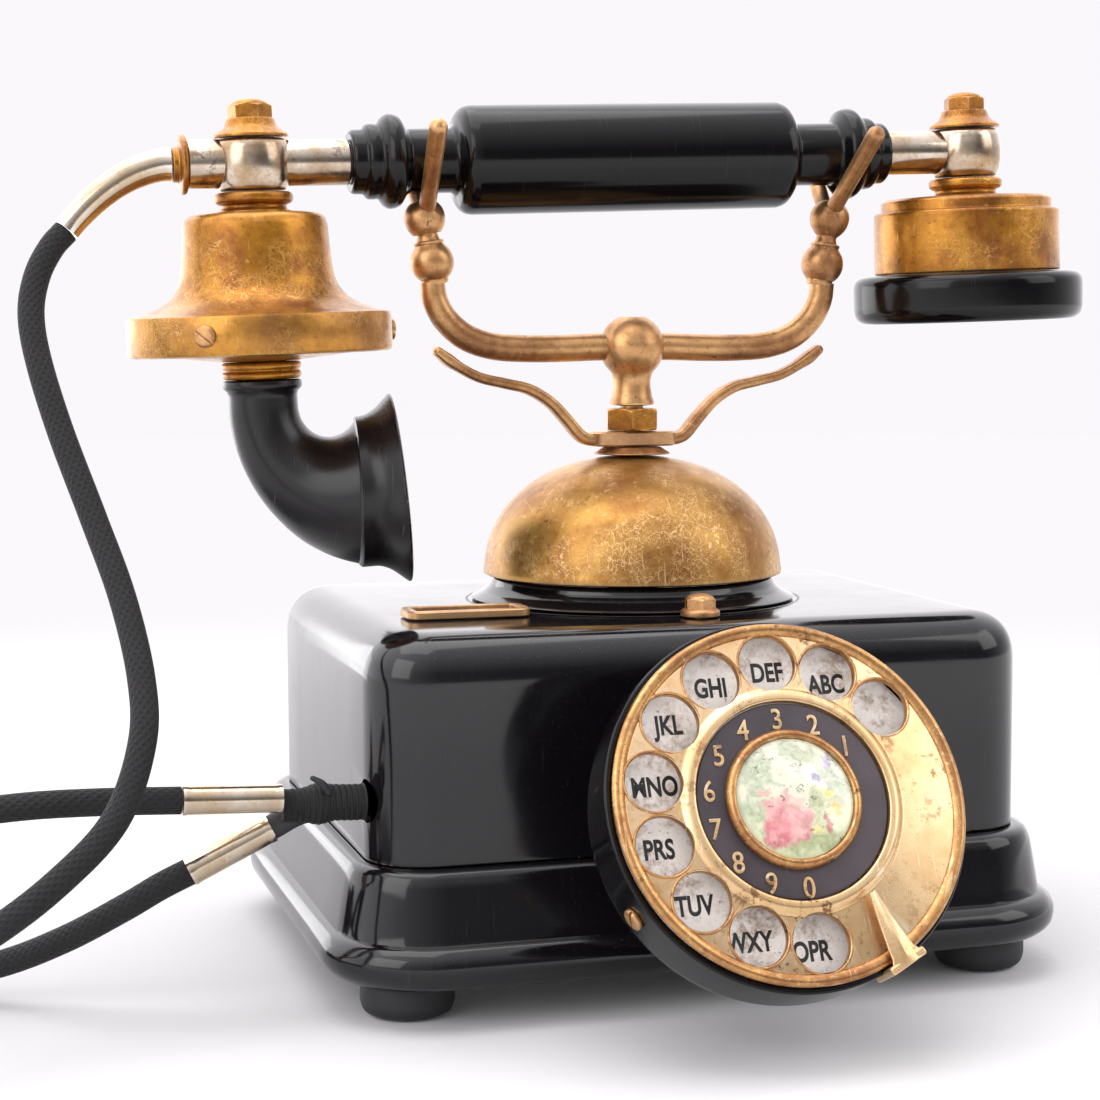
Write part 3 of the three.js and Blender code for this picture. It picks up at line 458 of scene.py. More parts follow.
LOOKS = {
    "enamel": gloss("black_enamel", (0.004, 0.0035, 0.0045), scratch=0.1, index=1.47),
    "cover_enamel": gloss("cover_enamel", (0.004, 0.0035, 0.0045), scratch=0.1, groove=True, index=1.47),
    "bakelite": gloss("black_bakelite", (0.0025, 0.002, 0.0025), 0.13, 0.12, (0.25, 0.09, 0.05), 0.15, index=1.33),
    "worn_bakelite": gloss("worn_bakelite", (0.006, 0.005, 0.006), 0.27, 0.45, (0.2, 0.1, 0.06), 0.6, index=1.42),
    "gong_brass": metal("gong_brass", (0.44, 0.23, 0.05), (0.23, 0.085, 0.02), (0.78, 0.54, 0.26), (0.3, 0.44), 52,
                        0.66, (0.6, (0.13, 0.045, 0.02)), 0.0, 0.85, 0.72, 0.85, 0.5),
    "aged_brass": metal("aged_brass", (0.44, 0.185, 0.016), (0.15, 0.04, 0.006), (0.66, 0.4, 0.13), (0.22, 0.38), 62,
                        0.68, (0.62, (0.07, 0.024, 0.01)), 0.7, 0.85, 0.66, 0.65, 0.4),
    "copper_brass": metal("copper_brass", (0.53, 0.29, 0.12), (0.22, 0.09, 0.034), (0.7, 0.46, 0.24), (0.3, 0.46), 75,
                          0.66, (0.62, (0.09, 0.036, 0.02)), 1.3, 0.85, 0.75),
    "gold": metal("worn_gold", (0.74, 0.52, 0.29), (0.58, 0.35, 0.15), (0.96, 0.88, 0.72), (0.24, 0.36), 46,
                  0.74, (0.55, (0.17, 0.065, 0.025)), 2.1, 0.75, 0.88, 0.5, 0.35),
    "rim": metal("worn_rim", (0.5, 0.27, 0.1), (0.25, 0.1, 0.04), (0.84, 0.64, 0.38), (0.24, 0.38), 110,
                 0.64, (0.6, (0.1, 0.04, 0.02)), 2.9, 0.8, 0.85, 0.5, 0.4),
    "nickel": metal("worn_nickel", (0.5, 0.43, 0.35), (0.3, 0.18, 0.08), (0.84, 0.81, 0.76), (0.12, 0.28), 90,
                    0.8, (0.56, (0.16, 0.08, 0.035)), 3.6, 0.8, 0.97, 0.4, 0.12),
    "sleeve": metal("sleeve_nickel", (0.56, 0.5, 0.42), (0.4, 0.28, 0.15), (0.86, 0.83, 0.78), (0.1, 0.22), 40,
                    0.85, None, 4.2, 0.7, 0.97, 0.3, 0.08),
    "white_enamel": stained("white_enamel", (0.93, 0.89, 0.85), (0.3, 0.18, 0.09), 0.18),
    "ink": dull("black_ink", (0.008, 0.008, 0.009), (0.014, 0.013, 0.013), 0.45),
    "violet_enamel": dull("violet_enamel", (0.03, 0.023, 0.028), (0.07, 0.052, 0.06), 0.42, 200, 0.00004),
    "porcelain": painted("painted_porcelain"),
    "rubber": dull("black_rubber", (0.013, 0.013, 0.015), (0.03, 0.029, 0.031), 0.62),
    "braid": cloth("braided_cotton", 11, 4.4),
    "binding": cloth("wrapped_cotton", 1, 8, (0.003, 0.0027, 0.003), (0.009, 0.008, 0.009), 0.0003),
    "steel": dull("plain_steel", (0.36, 0.36, 0.37), (0.22, 0.2, 0.19), 0.42, 260, 0.00003, 1.0),
    "fibre": dull("pressed_fibre", (0.12, 0.055, 0.025), (0.07, 0.03, 0.014), 0.7),
    "coil_tape": dull("coil_tape", (0.2, 0.035, 0.02), (0.1, 0.02, 0.012), 0.55),
    "grime": dull("brown_card", (0.13, 0.06, 0.035), (0.2, 0.1, 0.06), 0.7),
}
# A look goes to the slot of its own name, but for these.
SLOTS = {**{name: name for name in LOOKS}, "cover_enamel": "enamel", "worn_bakelite": "bakelite", "ink": "bakelite",
         "gong_brass": "aged_brass", "rim": "copper_brass", "sleeve": "nickel", "braid": "cloth", "binding": "cloth",
         "grime": "fibre"}


# ---------- shapes: each is (vertices, faces) ----------
def soften(points, radius=0.4, closed=False, steps=3):
    """The outline with its sharp corners rounded."""
    out = []
    count = len(points)
    for i, point in enumerate(points):
        here = Vector(point)
        if not closed and i in (0, count - 1):
            out.append(here)
            continue
        back, on = Vector(points[i - 1]) - here, Vector(points[(i + 1) % count]) - here
        if math.pi - back.angle(on) < math.radians(9):
            out.append(here)
            continue
        reach = min(radius, 0.45 * back.length, 0.45 * on.length)
        start, end = here + back.normalized() * reach, here + on.normalized() * reach
        for k in range(steps + 1):
            t = k / steps
            out.append(start * (1 - t) ** 2 + here * (2 * t * (1 - t)) + end * t ** 2)
    return out


def flow(points, per=6):
    """A smooth curve through the points: uniform Catmull-Rom, as the CAD's."""
    points = [Vector(p) for p in points]
    before = points[0] * 2 - points[1]
    after = points[-1] * 2 - points[-2]
    line = [before, *points, after]
    out = []
    for i in range(1, len(line) - 2):
        a, b, c, d = line[i - 1:i + 3]
        for k in range(per):
            t = k / per
            out.append(0.5 * (2 * b + (c - a) * t + (2 * a - 5 * b + 4 * c - d) * t ** 2
                              + (3 * b - a - 3 * c + d) * t ** 3))
    return [*out, points[-1]]


def curve(points, per=6):
    """The same curve as plain tuples, for a profile."""
    return [tuple(p) for p in flow(points, per)]


def squared(angles, power):
    """Points on a quarter of a squared-off unit circle."""
    return [(math.cos(math.radians(a)) ** power, math.sin(math.radians(a)) ** power) for a in angles]


def bow(radius, height, centre, angles):
    """Profile points on an ellipse about a centre on the axis, at angles in degrees."""
    return [[radius * math.cos(math.radians(a)), centre + height * math.sin(math.radians(a))] for a in angles]


def lathe(profile, segments=96):
    """A shape turned about Z from [radius, z]. A profile that starts off the axis is a closed loop."""
    closed = profile[0][0] > 1e-6
    vertices, rings, faces = [], [], []
    for r, z in profile:
        if r < 1e-6:
            rings.append([len(vertices)] * segments)
            vertices.append((0, 0, z))
            continue
        rings.append(list(range(len(vertices), len(vertices) + segments)))
        for k in range(segments):
            angle = 2 * math.pi * k / segments
            vertices.append((r * math.cos(angle), r * math.sin(angle), z))
    pairs = list(zip(rings, rings[1:])) + ([(rings[-1], rings[0])] if closed else [])
    for under, over in pairs:
        for k in range(segments):
            n = (k + 1) % segments
            face = list(dict.fromkeys((under[k], under[n], over[n], over[k])))
            if len(face) > 2:
                faces.append(face)
    return vertices, faces


def moved(shape, matrix):
    return [tuple(matrix @ Vector(v)) for v in shape[0]], shape[1]


def together(*shapes):
    vertices, faces = [], []
    for more, sides in shapes:
        faces += [[i + len(vertices) for i in side] for side in sides]
        vertices += list(more)
    return vertices, faces


def loft(rings, closed=False, cap=True):
    """Faces between rings of equal count; the ends are capped, or joined to each other."""
    count = len(rings[0])
    vertices = [v for ring in rings for v in ring]
    faces = []
    spans = len(rings) if closed else len(rings) - 1
    for level in range(spans):
        under, over = level * count, ((level + 1) % len(rings)) * count
        for k in range(count):
            n = (k + 1) % count
            faces.append([under + k, under + n, over + n, over + k])
    if cap and not closed:
        faces.append(list(range(count))[::-1])
        faces.append(list(range((len(rings) - 1) * count, len(rings) * count)))
    return vertices, faces


def rectangle(offset, z, half_x=HALF_X, half_y=HALF_Y, corner=CORNER, per=10, straight=6):
    """A ring of points round a rounded rectangle grown by offset."""
    radius = max(corner + offset, 0.05)
    in_x, in_y = half_x - corner, half_y - corner
    out = []
    centres = [(in_x, in_y), (-in_x, in_y), (-in_x, -in_y), (in_x, -in_y)]
    for quarter, (x, y) in enumerate(centres):
        for k in range(per + 1):
            angle = math.pi / 2 * (quarter + k / per)
            out.append(Vector((x + radius * math.cos(angle), y + radius * math.sin(angle), z)))
        following = centres[(quarter + 1) % 4]
        angle = math.pi / 2 * (quarter + 1)
        end = Vector((following[0] + radius * math.cos(angle), following[1] + radius * math.sin(angle), z))
        start = out[-1].copy()
        out += [start.lerp(end, k / straight) for k in range(1, straight)]
    return [tuple(v) for v in out]


def moulding(profile, closed=True, **size):
    return loft([rectangle(offset, z, **size) for offset, z in profile], closed=closed)


def tangents(path):
    last = len(path) - 1
    return [(path[min(i + 1, last)] - path[max(i - 1, 0)]).normalized() for i in range(last + 1)]


def distances(path):
    """How far along the path each of its points lies."""
    out = [0.0]
    for a, b in zip(path, path[1:]):
        out.append(out[-1] + (b - a).length)
    return out


def frames_along(path):
    """A steady pair of side directions at each point of a path."""
    out = []
    side = tangents(path)[0].orthogonal().normalized()
    for tangent in tangents(path):
        side = (side - tangent * side.dot(tangent)).normalized()
        out.append((side, tangent.cross(side)))
    return out


def sweep(path, size, sides=20, section=None, round_ends=False, up=None):
    """A bar along a path. size gives its radius at a share of the way; section gives
    a flattened bar's half sizes and then `up` fixes which way it lies."""
    path = [Vector(p) for p in path]
    reach = distances(path)
    pairs = frames_along(path)
    if up:
        across = [Vector(up).cross(tangent).normalized() for tangent in tangents(path)]
        pairs = [(side, tangent.cross(side)) for side, tangent in zip(across, tangents(path))]
    stations = [(point, size(along / reach[-1]), pair) for point, along, pair in zip(path, reach, pairs)]
    if round_ends:
        heads = []
        for index, way in ((0, -1), (-1, 1)):
            centre, r, pair = stations[index]
            tangent = (path[1] - path[0] if way < 0 else path[-1] - path[-2]).normalized()
            heads.append([(centre + tangent * way * r * math.sin(a), r * math.cos(a), pair)
                          for a in (math.radians(d) for d in (15, 30, 45, 60, 75, 86))])
        stations = heads[0][::-1] + stations + heads[1]
    rings = []
    for centre, r, (one, two) in stations:
        ring = []
        for k in range(sides):
            angle = 2 * math.pi * k / sides
            c, s = math.cos(angle), math.sin(angle)
            if section:
                c = math.copysign(abs(c) ** 0.6, c) * section[0]
                s = math.copysign(abs(s) ** 0.6, s) * section[1]
            ring.append(tuple(centre + one * (c * r) + two * (s * r)))
        rings.append(ring)
    return loft(rings)


def hexagonal(reach, bottom, top, turn=0.0, chamfer_low=False):
    """A hexagon nut or head whose corners are turned off by a cone, which leaves the curved edges."""
    count, levels = 120, 16
    waist, slope = reach * 0.865, 1.6
    angles = [2 * math.pi * k / count for k in range(count)]
    rings = []
    for level in range(levels + 1):
        z = bottom + (top - bottom) * (level / levels)
        cone = waist + (top - z) * slope
        if chamfer_low:
            cone = min(cone, waist + (z - bottom) * slope)
        ring = []
        for angle in angles:
            flat = reach * math.cos(math.pi / 6) / math.cos((angle % (math.pi / 3)) - math.pi / 6)
            r = min(flat, cone)
            ring.append((r * math.cos(angle + turn), r * math.sin(angle + turn), z))
        rings.append(ring)
    under, over = [[(reach * 0.6 * math.cos(a), reach * 0.6 * math.sin(a), z) for a in angles] for z in (bottom, top)]
    return loft([under, *rings, over])


def screw_head(radius, height, slot=0.5, turn=0.0):
    """A cheese head with a rounded edge and a cut slot."""
    head = lathe(soften([[0, 0], [radius, 0], [radius, height * 0.7], [radius * 0.8, height], [0, height]], 0.2), 48)
    bar = moved(moulding([(-0.3, height * 0.45), (0, height * 0.45), (0, height * 2), (-0.3, height * 2)], False,
                         half_x=radius * 1.3, half_y=slot / 2, corner=0.05, per=1, straight=1),
                Matrix.Rotation(turn, 4, "Z"))
    return carve(head, bar)


def mesh_of(shape, name="work"):
    mesh = bpy.data.meshes.new(name)
    mesh.from_pydata([tuple(v) for v in shape[0]], [], shape[1])
    work = bmesh.new()
    work.from_mesh(mesh)
    bmesh.ops.remove_doubles(work, verts=work.verts, dist=1e-7)
    bmesh.ops.recalc_face_normals(work, faces=work.faces)
    work.to_mesh(mesh)
    work.free()
    return mesh


def carve(shape, *cutters):
    """The shape with the cutters taken out of it."""
    base = put("work", mesh_of(shape))
    tools = [put("tool", mesh_of(cutter)) for cutter in cutters]
    for tool in tools:
        modifier = base.modifiers.new("cut", "BOOLEAN")
        modifier.operation = "DIFFERENCE"
        modifier.solver = "EXACT"
        modifier.object = tool
    graph = bpy.context.evaluated_depsgraph_get()
    result = bpy.data.meshes.new_from_object(base.evaluated_get(graph))
    out = ([tuple(v.co) for v in result.vertices], [list(p.vertices) for p in result.polygons])
    for made in (base, *tools):
        bpy.data.objects.remove(made)
    return out


def piece(name, shape, place, body, look, replaces=(), sharp=34, bevel=0.0):
    """A named piece of the visual model, in the row frame, riding on a body."""
    mesh = mesh_of(moved(shape, place), name)
    mesh.polygons.foreach_set("use_smooth", [True] * len(mesh.polygons))
    mesh.set_sharp_from_angle(angle=math.radians(sharp))
    mesh.materials.append(LOOKS[look].material)
    made = put(name, mesh)
    if bevel:
        edge = made.modifiers.new("edge", "BEVEL")
        edge.width = bevel * 0.001
        edge.segments = 2
        edge.limit_method = "ANGLE"
        edge.angle_limit = math.radians(40)
    if replaces:
        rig.replaces(made, *([replaces] if isinstance(replaces, str) else replaces))
    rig.slot(made, SLOTS[look])
    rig.ride(made, body)
    return made


def cylinder(radius, bottom, top, segments=48):
    return lathe([[0, bottom], [radius, bottom], [radius, top], [0, top]], segments)


# ---------- cords ----------
# Routes run from the sleeves outwards; COIL is the stored coil's centre and TURNS its rings' radii and heights.
HANDSET_FALL = [
    [-134.8, 0, 171.6], [-138.2, -0.8, 167.8], [-141.6, -3, 161.4], [-143.3, -6.4, 153], [-142.2, -11.6, 142.4],
    [-138.4, -20, 127], [-132.8, -31, 109], [-128, -43, 92.4], [-125.6, -54.6, 76.4], [-126.6, -62.6, 64.2],
    [-133, -69.6, 50], [-145.4, -74.6, 38.8], [-160, -77.4, 29.4], [-177, -78.8, 21.4], [-195, -79, 16],
]
HANDSET_RETURN = [
    [-190, -7.6, 3.5], [-172, -12, 4.6], [-154.6, -21.6, 9.4], [-141, -32, 16.6], [-129, -40.4, 24.6],
    [-121.4, -44.4, 29.8],
]
LOWER_SLEEVE = [[-97.5, -47, 41.7], [-115.2, -45.9, 33]]
LINE_SLEEVE = [[-96.1, -52.3, 49.1], [-117.4, -52.8, 50]]
LINE_FALL = [
    [-117.7, -52.8, 50], [-134, -53.2, 50.7], [-151, -51.8, 50.4], [-165.6, -46.8, 47.8], [-176.4, -36, 41.4],
    [-181, -21.6, 32.4], [-180.2, -6, 21.6], [-177.8, 8, 12.6], [-176, 23.4, 6.4],
]
COIL = Vector((-216, 46))
CORD_RADIUS = 0.003
TURNS = [(40.8, 3.2), (34.6, 3.2), (28.4, 3.2), (22.2, 3.2), (22.2, 9.5), (28.4, 9.5), (34.6, 9.5), (40.8, 9.5),
         (40.8, 15.8)]


def handset_route():
    loop = []
    for i in range(16):
        angle = math.radians(-90 - 36 * i)
        loop.append([-212 + 36 * math.cos(angle), -43 + 36 * math.sin(angle), 13.4 - 9.9 * i / 15])
    end = Vector(LOWER_SLEEVE[1]).lerp(Vector(LOWER_SLEEVE[0]), 0.04)
    return flow([*HANDSET_FALL, *loop, *HANDSET_RETURN, tuple(end)], 10)


def line_route():
    """Down from its sleeve, round the coil layer by layer, then off the top into the plug."""
    coil = []
    last = len(TURNS) - 1
    for step in range(0, 360 * last + 91, 10):
        turn = min(step // 360, last)
        share = max(0.0, (step % 360 - 315) / 45) if turn < last else 0.0
        share = share * share * (3 - 2 * share)
        here, following = TURNS[turn], TURNS[min(turn + 1, last)]
        radius = here[0] + (following[0] - here[0]) * share
        z = here[1] + (following[1] - here[1]) * share
        angle = math.radians(step)
        coil.append([COIL.x + radius * math.cos(angle), COIL.y + radius * math.sin(angle), z])
    leave = [[-224, 86.8, 15.2], [-229, 86.8, 14.6], [-233, 86.8, 14.3]]
    return flow([*LINE_FALL, *coil, *leave], 4)


def braided(name, route, body, replaces, sides=16):
    """A round cord as a tube mesh in the row frame, with a UV map for the braid."""
    points = [BELL @ p for p in route]
    pairs = frames_along(points)
    reach = distances(points)
    rings = []
    for point, (one, two) in zip(points, pairs):
        rings.append([tuple(point + (one * math.cos(2 * math.pi * k / sides)
                                     + two * math.sin(2 * math.pi * k / sides)) * CORD_RADIUS) for k in range(sides)])
    mesh = bpy.data.meshes.new(name)
    vertices, faces = loft(rings)
    mesh.from_pydata(vertices, [], faces)
    layer = mesh.uv_layers.new(name="UVMap")
    for polygon in mesh.polygons:
        around = [mesh.loops[i].vertex_index % sides for i in polygon.loop_indices]
        wraps = max(around) - min(around) > sides / 2
        for i, k in zip(polygon.loop_indices, around):
            share = 1.0 if wraps and k == 0 else k / sides
            layer.data[i].uv = (share, reach[mesh.loops[i].vertex_index // sides] * 100)
    mesh.polygons.foreach_set("use_smooth", [len(p.vertices) == 4 for p in mesh.polygons])
    mesh.materials.append(LOOKS["braid"].material)
    made = put(name, mesh)
    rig.replaces(made, *replaces)
    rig.slot(made, "cloth")
    if body:
        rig.ride(made, body)
    return made, points, reach[-1]


def taper(path, start, end, name, body, look, replaces):
    """A bell-ended metal sleeve with a rolled rim where the cord leaves it."""
    def size(share):
        rim = 0.25 * math.exp(-((share - 0.985) / 0.02) ** 2) + 0.2 * math.exp(-((share - 0.02) / 0.02) ** 2)
        return start + (end - start) * share + rim
    return piece(name, sweep(path, size, 40), BELL, body, look, replaces)


def cords():
    """Both cords. The handset's is blended between the base and the handset, the line's rides the base."""
    cord, points, length = braided("handset_cord_braid", handset_route(), None, ["handset_cord"])
    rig.blend(cord, "base", "handset", start=BELL @ Vector((-128, -40, 70)), end=BELL @ Vector((-128, -40, 160)))
    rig.cord(cord, exit=points[0], length=length, diameter=0.006, far_end="object", stiffness="limp", lay="loose",
            path=points)
    plug = plug_piece()
    cord, points, length = braided("line_cord_braid", line_route(), "base", ["line_cord", "line_coil"])
    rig.cord(cord, exit=points[0], length=length, diameter=0.006, far_end="plug", stiffness="limp", lay="coiled",
            path=points, with_pieces=plug)


def plug_piece():
    place = BELL @ slide(COIL.x - 17.5, COIL.y + 40.8, 14.3) @ rotation(-90, "Y")
    body = lathe(soften([[0, -2.5], [3.4, -2.5], [3.8, 0], [4.4, 7], [9, 11], [12.4, 13.4], [14, 16], [14, 27],
                         [13, 28.4], [0, 28.4]], 1.2, steps=4), 64)
    ribs = [lathe(soften([[4 + i * 0.25, 1 + i * 1.8], [5 + i * 0.25, 1 + i * 1.8], [5 + i * 0.25, 1.9 + i * 1.8],
                          [4 + i * 0.25, 1.9 + i * 1.8]], 0.3, True), 48) for i in range(3)]
    pins = [moved(lathe(soften([[0, 27], [2.3, 27], [2.3, 44.6], [1.4, 46], [0, 46]], 0.6), 32),
                  slide(0, y, 0)) for y in (-9.2, 9.2)]
    shell = piece("line_plug_body", together(body, *ribs), place, "base", "bakelite", ["line_plug"])
    return [shell, piece("line_plug_pins", together(*pins), place, "base", "nickel")]


cords()


# ---------- room ----------
def room():
    """A pale floor that fades into the backdrop, under a world that is brighter behind, to the left and above."""
    floor = put("floor", mesh_of(lathe([[0, -0.02], [3, -0.02], [3, 0], [0, 0]], 64)))
    pale = Look("pale_floor").set(Base_Color=(0.87, 0.86, 0.87), Roughness=1.0)
    pale.shader.inputs["Specular IOR Level"].default_value = 0.0
    place = node(pale.tree, "NewGeometry").outputs["Position"]
    away = node(pale.tree, "VectorMath", {0: place, 1: (0.0, 0.08, 0)}, operation="DISTANCE").outputs["Value"]
    fade = node(pale.tree, "MapRange", {0: away, 1: 0.2, 2: 0.72, 3: 0.0, 4: 1.0},
                interpolation_type="SMOOTHSTEP").outputs[0]
    mirrored = node(pale.tree, "LightPath").outputs["Is Glossy Ray"]
    glow = node(pale.tree, "Math", {0: mirrored, 1: 0.8, 2: 1.0}, operation="MULTIPLY_ADD").outputs[0]
    bright = node(pale.tree, "Emission", {0: (BACKDROP, 0.945, BACKDROP, 1), 1: glow}).outputs[0]
    result = next(n for n in pale.tree.nodes if n.type == "OUTPUT_MATERIAL")
    mixed = node(pale.tree, "MixShader", {0: fade, 1: pale.shader.outputs[0], 2: bright}).outputs[0]
    pale.tree.links.new(mixed, result.inputs[0])
    floor.data.materials.append(pale.material)
    floor.location.z = -0.0002
    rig.stage(floor)
    world = bpy.data.worlds.new("studio")
    bpy.context.scene.world = world
    world.use_nodes = True
    tree = world.node_tree
    way = node(tree, "SeparateXYZ", {0: node(tree, "TexCoord").outputs["Generated"]})
    back = node(tree, "MapRange", {0: way.outputs[1], 1: -0.7, 2: 0.75, 3: 0.15, 4: 1.75}).outputs[0]
    left = node(tree, "MapRange", {0: way.outputs[0], 1: 0.3, 2: -0.9, 3: 0.0, 4: 0.9}).outputs[0]
    over = node(tree, "MapRange", {0: way.outputs[2], 1: 0.25, 2: 0.8, 3: 0.0, 4: 1.0}).outputs[0]
    level = node(tree, "Math", {0: back, 1: left}, operation="ADD").outputs[0]
    level = node(tree, "Math", {0: level, 1: over}, operation="ADD").outputs[0]
    rays = node(tree, "LightPath").outputs
    level = node(tree, "Mix", {0: rays["Is Diffuse Ray"], 2: level, 3: 0.86}, data_type="FLOAT").outputs[0]
    level = node(tree, "Mix", {0: rays["Is Camera Ray"], 2: level, 3: BACKDROP}, data_type="FLOAT").outputs[0]
    light = tree.nodes["Background"]
    light.inputs[0].default_value = (0.99, 0.97, 1, 1)
    tree.links.new(level, light.inputs[1])


def lamp(name, place, aim, size, power):
    data = bpy.data.lights.new(name, "AREA")
    data.shape = "RECTANGLE"
    data.size, data.size_y = size
    data.energy = power
    put(name, data).matrix_world = Matrix.Translation(place) @ facing(Vector(aim) - Vector(place))


room()
lamp("overhead", (-0.15, 0.1, 1.2), (0, 0, 0.1), (1.1, 0.9), 6)
lamp("left_box", (-1.15, -0.7, 0.7), (0, 0, 0.12), (0.9, 1.0), 6.5)
lamp("right_box", (1.15, -0.75, 0.85), (0, 0, 0.12), (0.9, 1.0), 6)
lamp("left_panel", (-0.38, 0.62, 0.13), (-0.08, 0, 0.06), (0.35, 0.26), 0.5)
bpy.context.scene.view_settings.view_transform = "Standard"


# ---------- base ----------
def case():
    """The pressed cover (its outer and inner skins joined round the lower rim), plinth, bottom plate and feet."""
    def shrunk(ring, z, shares):
        return [[tuple(Vector(p) * share + Vector((0, 0, z * (1 - share)))) for p in ring] for share in shares]

    bottom, ceiling, top, radius = 33.9, 81.7, 83.7, 11.5
    edge = [(-radius + radius * out, 72.2 + radius * up) for out, up in squared(range(0, 91, 5), 0.84)]
    outside = [rectangle(*at) for at in [(0, bottom), (0.05, 34.4), (0, 35), (0, 54), *edge]]
    inside = [rectangle(*at) for at in ((-11, ceiling), (-9, ceiling), (-4, 79.7), (-2, 74.7), (-2, bottom))]
    cover = together(loft([*outside, *shrunk(outside[-1], top, (0.75, 0.5, 0.25, 0.05))]),
                     loft([*shrunk(inside[0], ceiling, (0.05, 0.5)), *inside]))
    rims = len(rectangle(0, 0))
    vertices, faces = cover
    faces = [f for f in faces if len(f) != rims or f[0] not in (rims - 1, len(vertices) - rims)]
    start = len(vertices) - rims
    faces += [[k, (k + 1) % rims, start + (k + 1) % rims, start + k] for k in range(rims)]
    holes = [
        cylinder(3.2, 70, 90), moved(cylinder(3, 70, 90), slide(CLAPPER_HOLE_X, 0, 0)),
        moved(cylinder(1.8, 70, 90), slide(*BOLT, 0)),
        moved(cylinder(18, 0, 20), slide(0, -51.5, 46) @ rotation(90, "X")),
        moved(cylinder(4.8, 0, 20), slide(-67.3, ENTRY_Y, ENTRY_Z) @ rotation(-90, "Y")),
    ]
    piece("case_cover", carve((vertices, faces), *holes), BELL, "base", "cover_enamel", "top_cover")
    bead = curve([(6.6, 18.2), (8.2, 17.4), (9.7, 15.6), (10.2, 13.2), (9.5, 10.7), (7.4, 8.8), (5.6, 8.25)], 4)
    profile = [(0.6, 33.6), (1.4, 33.6), (2.7, 33.2), *curve([(3.6, 32.3), (4.6, 29.2), (6.4, 18.8)], 5),
               *bead, (4, 8.2), (-6, 8.2), (-6, 10.4), (2, 10.4), (6, 11.6), (7.6, 13.4),
               (6.4, 15.6), (4.2, 18.6), (2.4, 28.8), (1.2, 31.2), (-6, 31.2), (-6, 33.6)]
    piece("flared_plinth", moulding(profile), BELL, "base", "enamel", "plinth")
    bottom = moulding([(-20, 10.9), (0.4, 10.9), (1.2, 11.2), (1.2, 12.2), (0.6, 12.5), (-20, 12.5)], False)
    piece("bottom_plate", bottom, BELL, "base", "steel", "base_plate")
    for row, y in (("front", -51.8), ("rear", 51.8)):
        for end, x in (("left", -68.8), ("right", 68.8)):
            pad = lathe(soften([[0, 0.3], [3, 0.3], [3.4, 0], [7.6, 0], [9.7, 0.8], [10.5, 3], [10.4, 7.9], [0, 7.9]],
                               1.2, steps=5), 64)
            piece(f"rubber_foot_{row}_{end}", pad, BELL @ slide(x, y, 0), "base", "rubber",
                  f"foot_{row}_{end}")


def bell():
    def dome_curve(radius, crown):
        quarter = squared(range(3, 86, 3), 0.93)
        return [*[(radius * out, GONG_RIM_Z + (crown - GONG_RIM_Z) * up) for out, up in quarter], (3.3, crown)]

    outer = dome_curve(36.3, 118.6)[::-1]
    inner = dome_curve(34.5, 116.8)
    shell = [*outer, (36.45, 90.9), (36.35, 90.15), (35.8, GONG_RIM_Z), (34.9, 89.95), *inner]
    piece("gong_dome", lathe(shell, 160), BELL, "base", "gong_brass", "gong")
    ring = soften([[3.2, 84], [39.2, 84], [39.5, 84.4], [38.4, 84.9], [36.4, 86], [35, 87.4], [34.2, 89.4],
                   [31.8, 89.4], [31.8, 86], [8, 86], [6, 88], [6, 115.9], [3.2, 115.9]], 0.5, True)
    hole = moved(cylinder(3, 80, 90), slide(CLAPPER_HOLE_X, 0, 0))
    piece("gong_pedestal", carve(lathe(ring, 128), hole), BELL, "base", "enamel", "bell_pedestal")
    cone = soften([[3.2, 118.9], [9.2, 118.9], [9.3, 119.2], [8.2, 119.8], [7, 120.6], [3.2, 120.6]], 0.25, True)
    piece("gong_cone_washer", lathe(cone, 96), BELL, "base", "copper_brass", "gong_flange")
    nut = hexagonal(6.9, 124.7, 130, math.radians(14), chamfer_low=True)
    piece("hexagon_lock_nut", carve(nut, cylinder(3.2, 120, 140)), BELL, "base", "aged_brass", "lock_nut", 25)
    guard()


def guard():
    line = [(8.4, 0, 122.5), (11.2, 0, 122.6), (13.6, 0, 123.8), (17, 0, 127.7), (21, 0, 131.8), (26.2, 0, 134.9),
            (32, 0, 136.3), (38.6, 0, 137.9), (44.5, 0, 141), (48.6, 0, 144)]
    arms = []
    for side in (-1, 1):
        path = flow([(side * x, y, z) for x, y, z in line], 6)
        arms.append(sweep(path, lambda t: 1.55 - 0.4 * t + 0.3 * math.exp(-((t - 0.93) / 0.05) ** 2), 24,
                          section=(1.75, 1.0), round_ends=True, up=(0, 0, 1)))
    plate = moulding([(-0.5, 120.9), (0, 121.3), (0, 124), (-0.5, 124.4)], False, half_x=10.6, half_y=5.4, corner=4.6)
    piece("guard_plate_arms", together(carve(plate, cylinder(3.2, 110, 130)), *arms), BELL, "base", "copper_brass",
          "guard_arms")


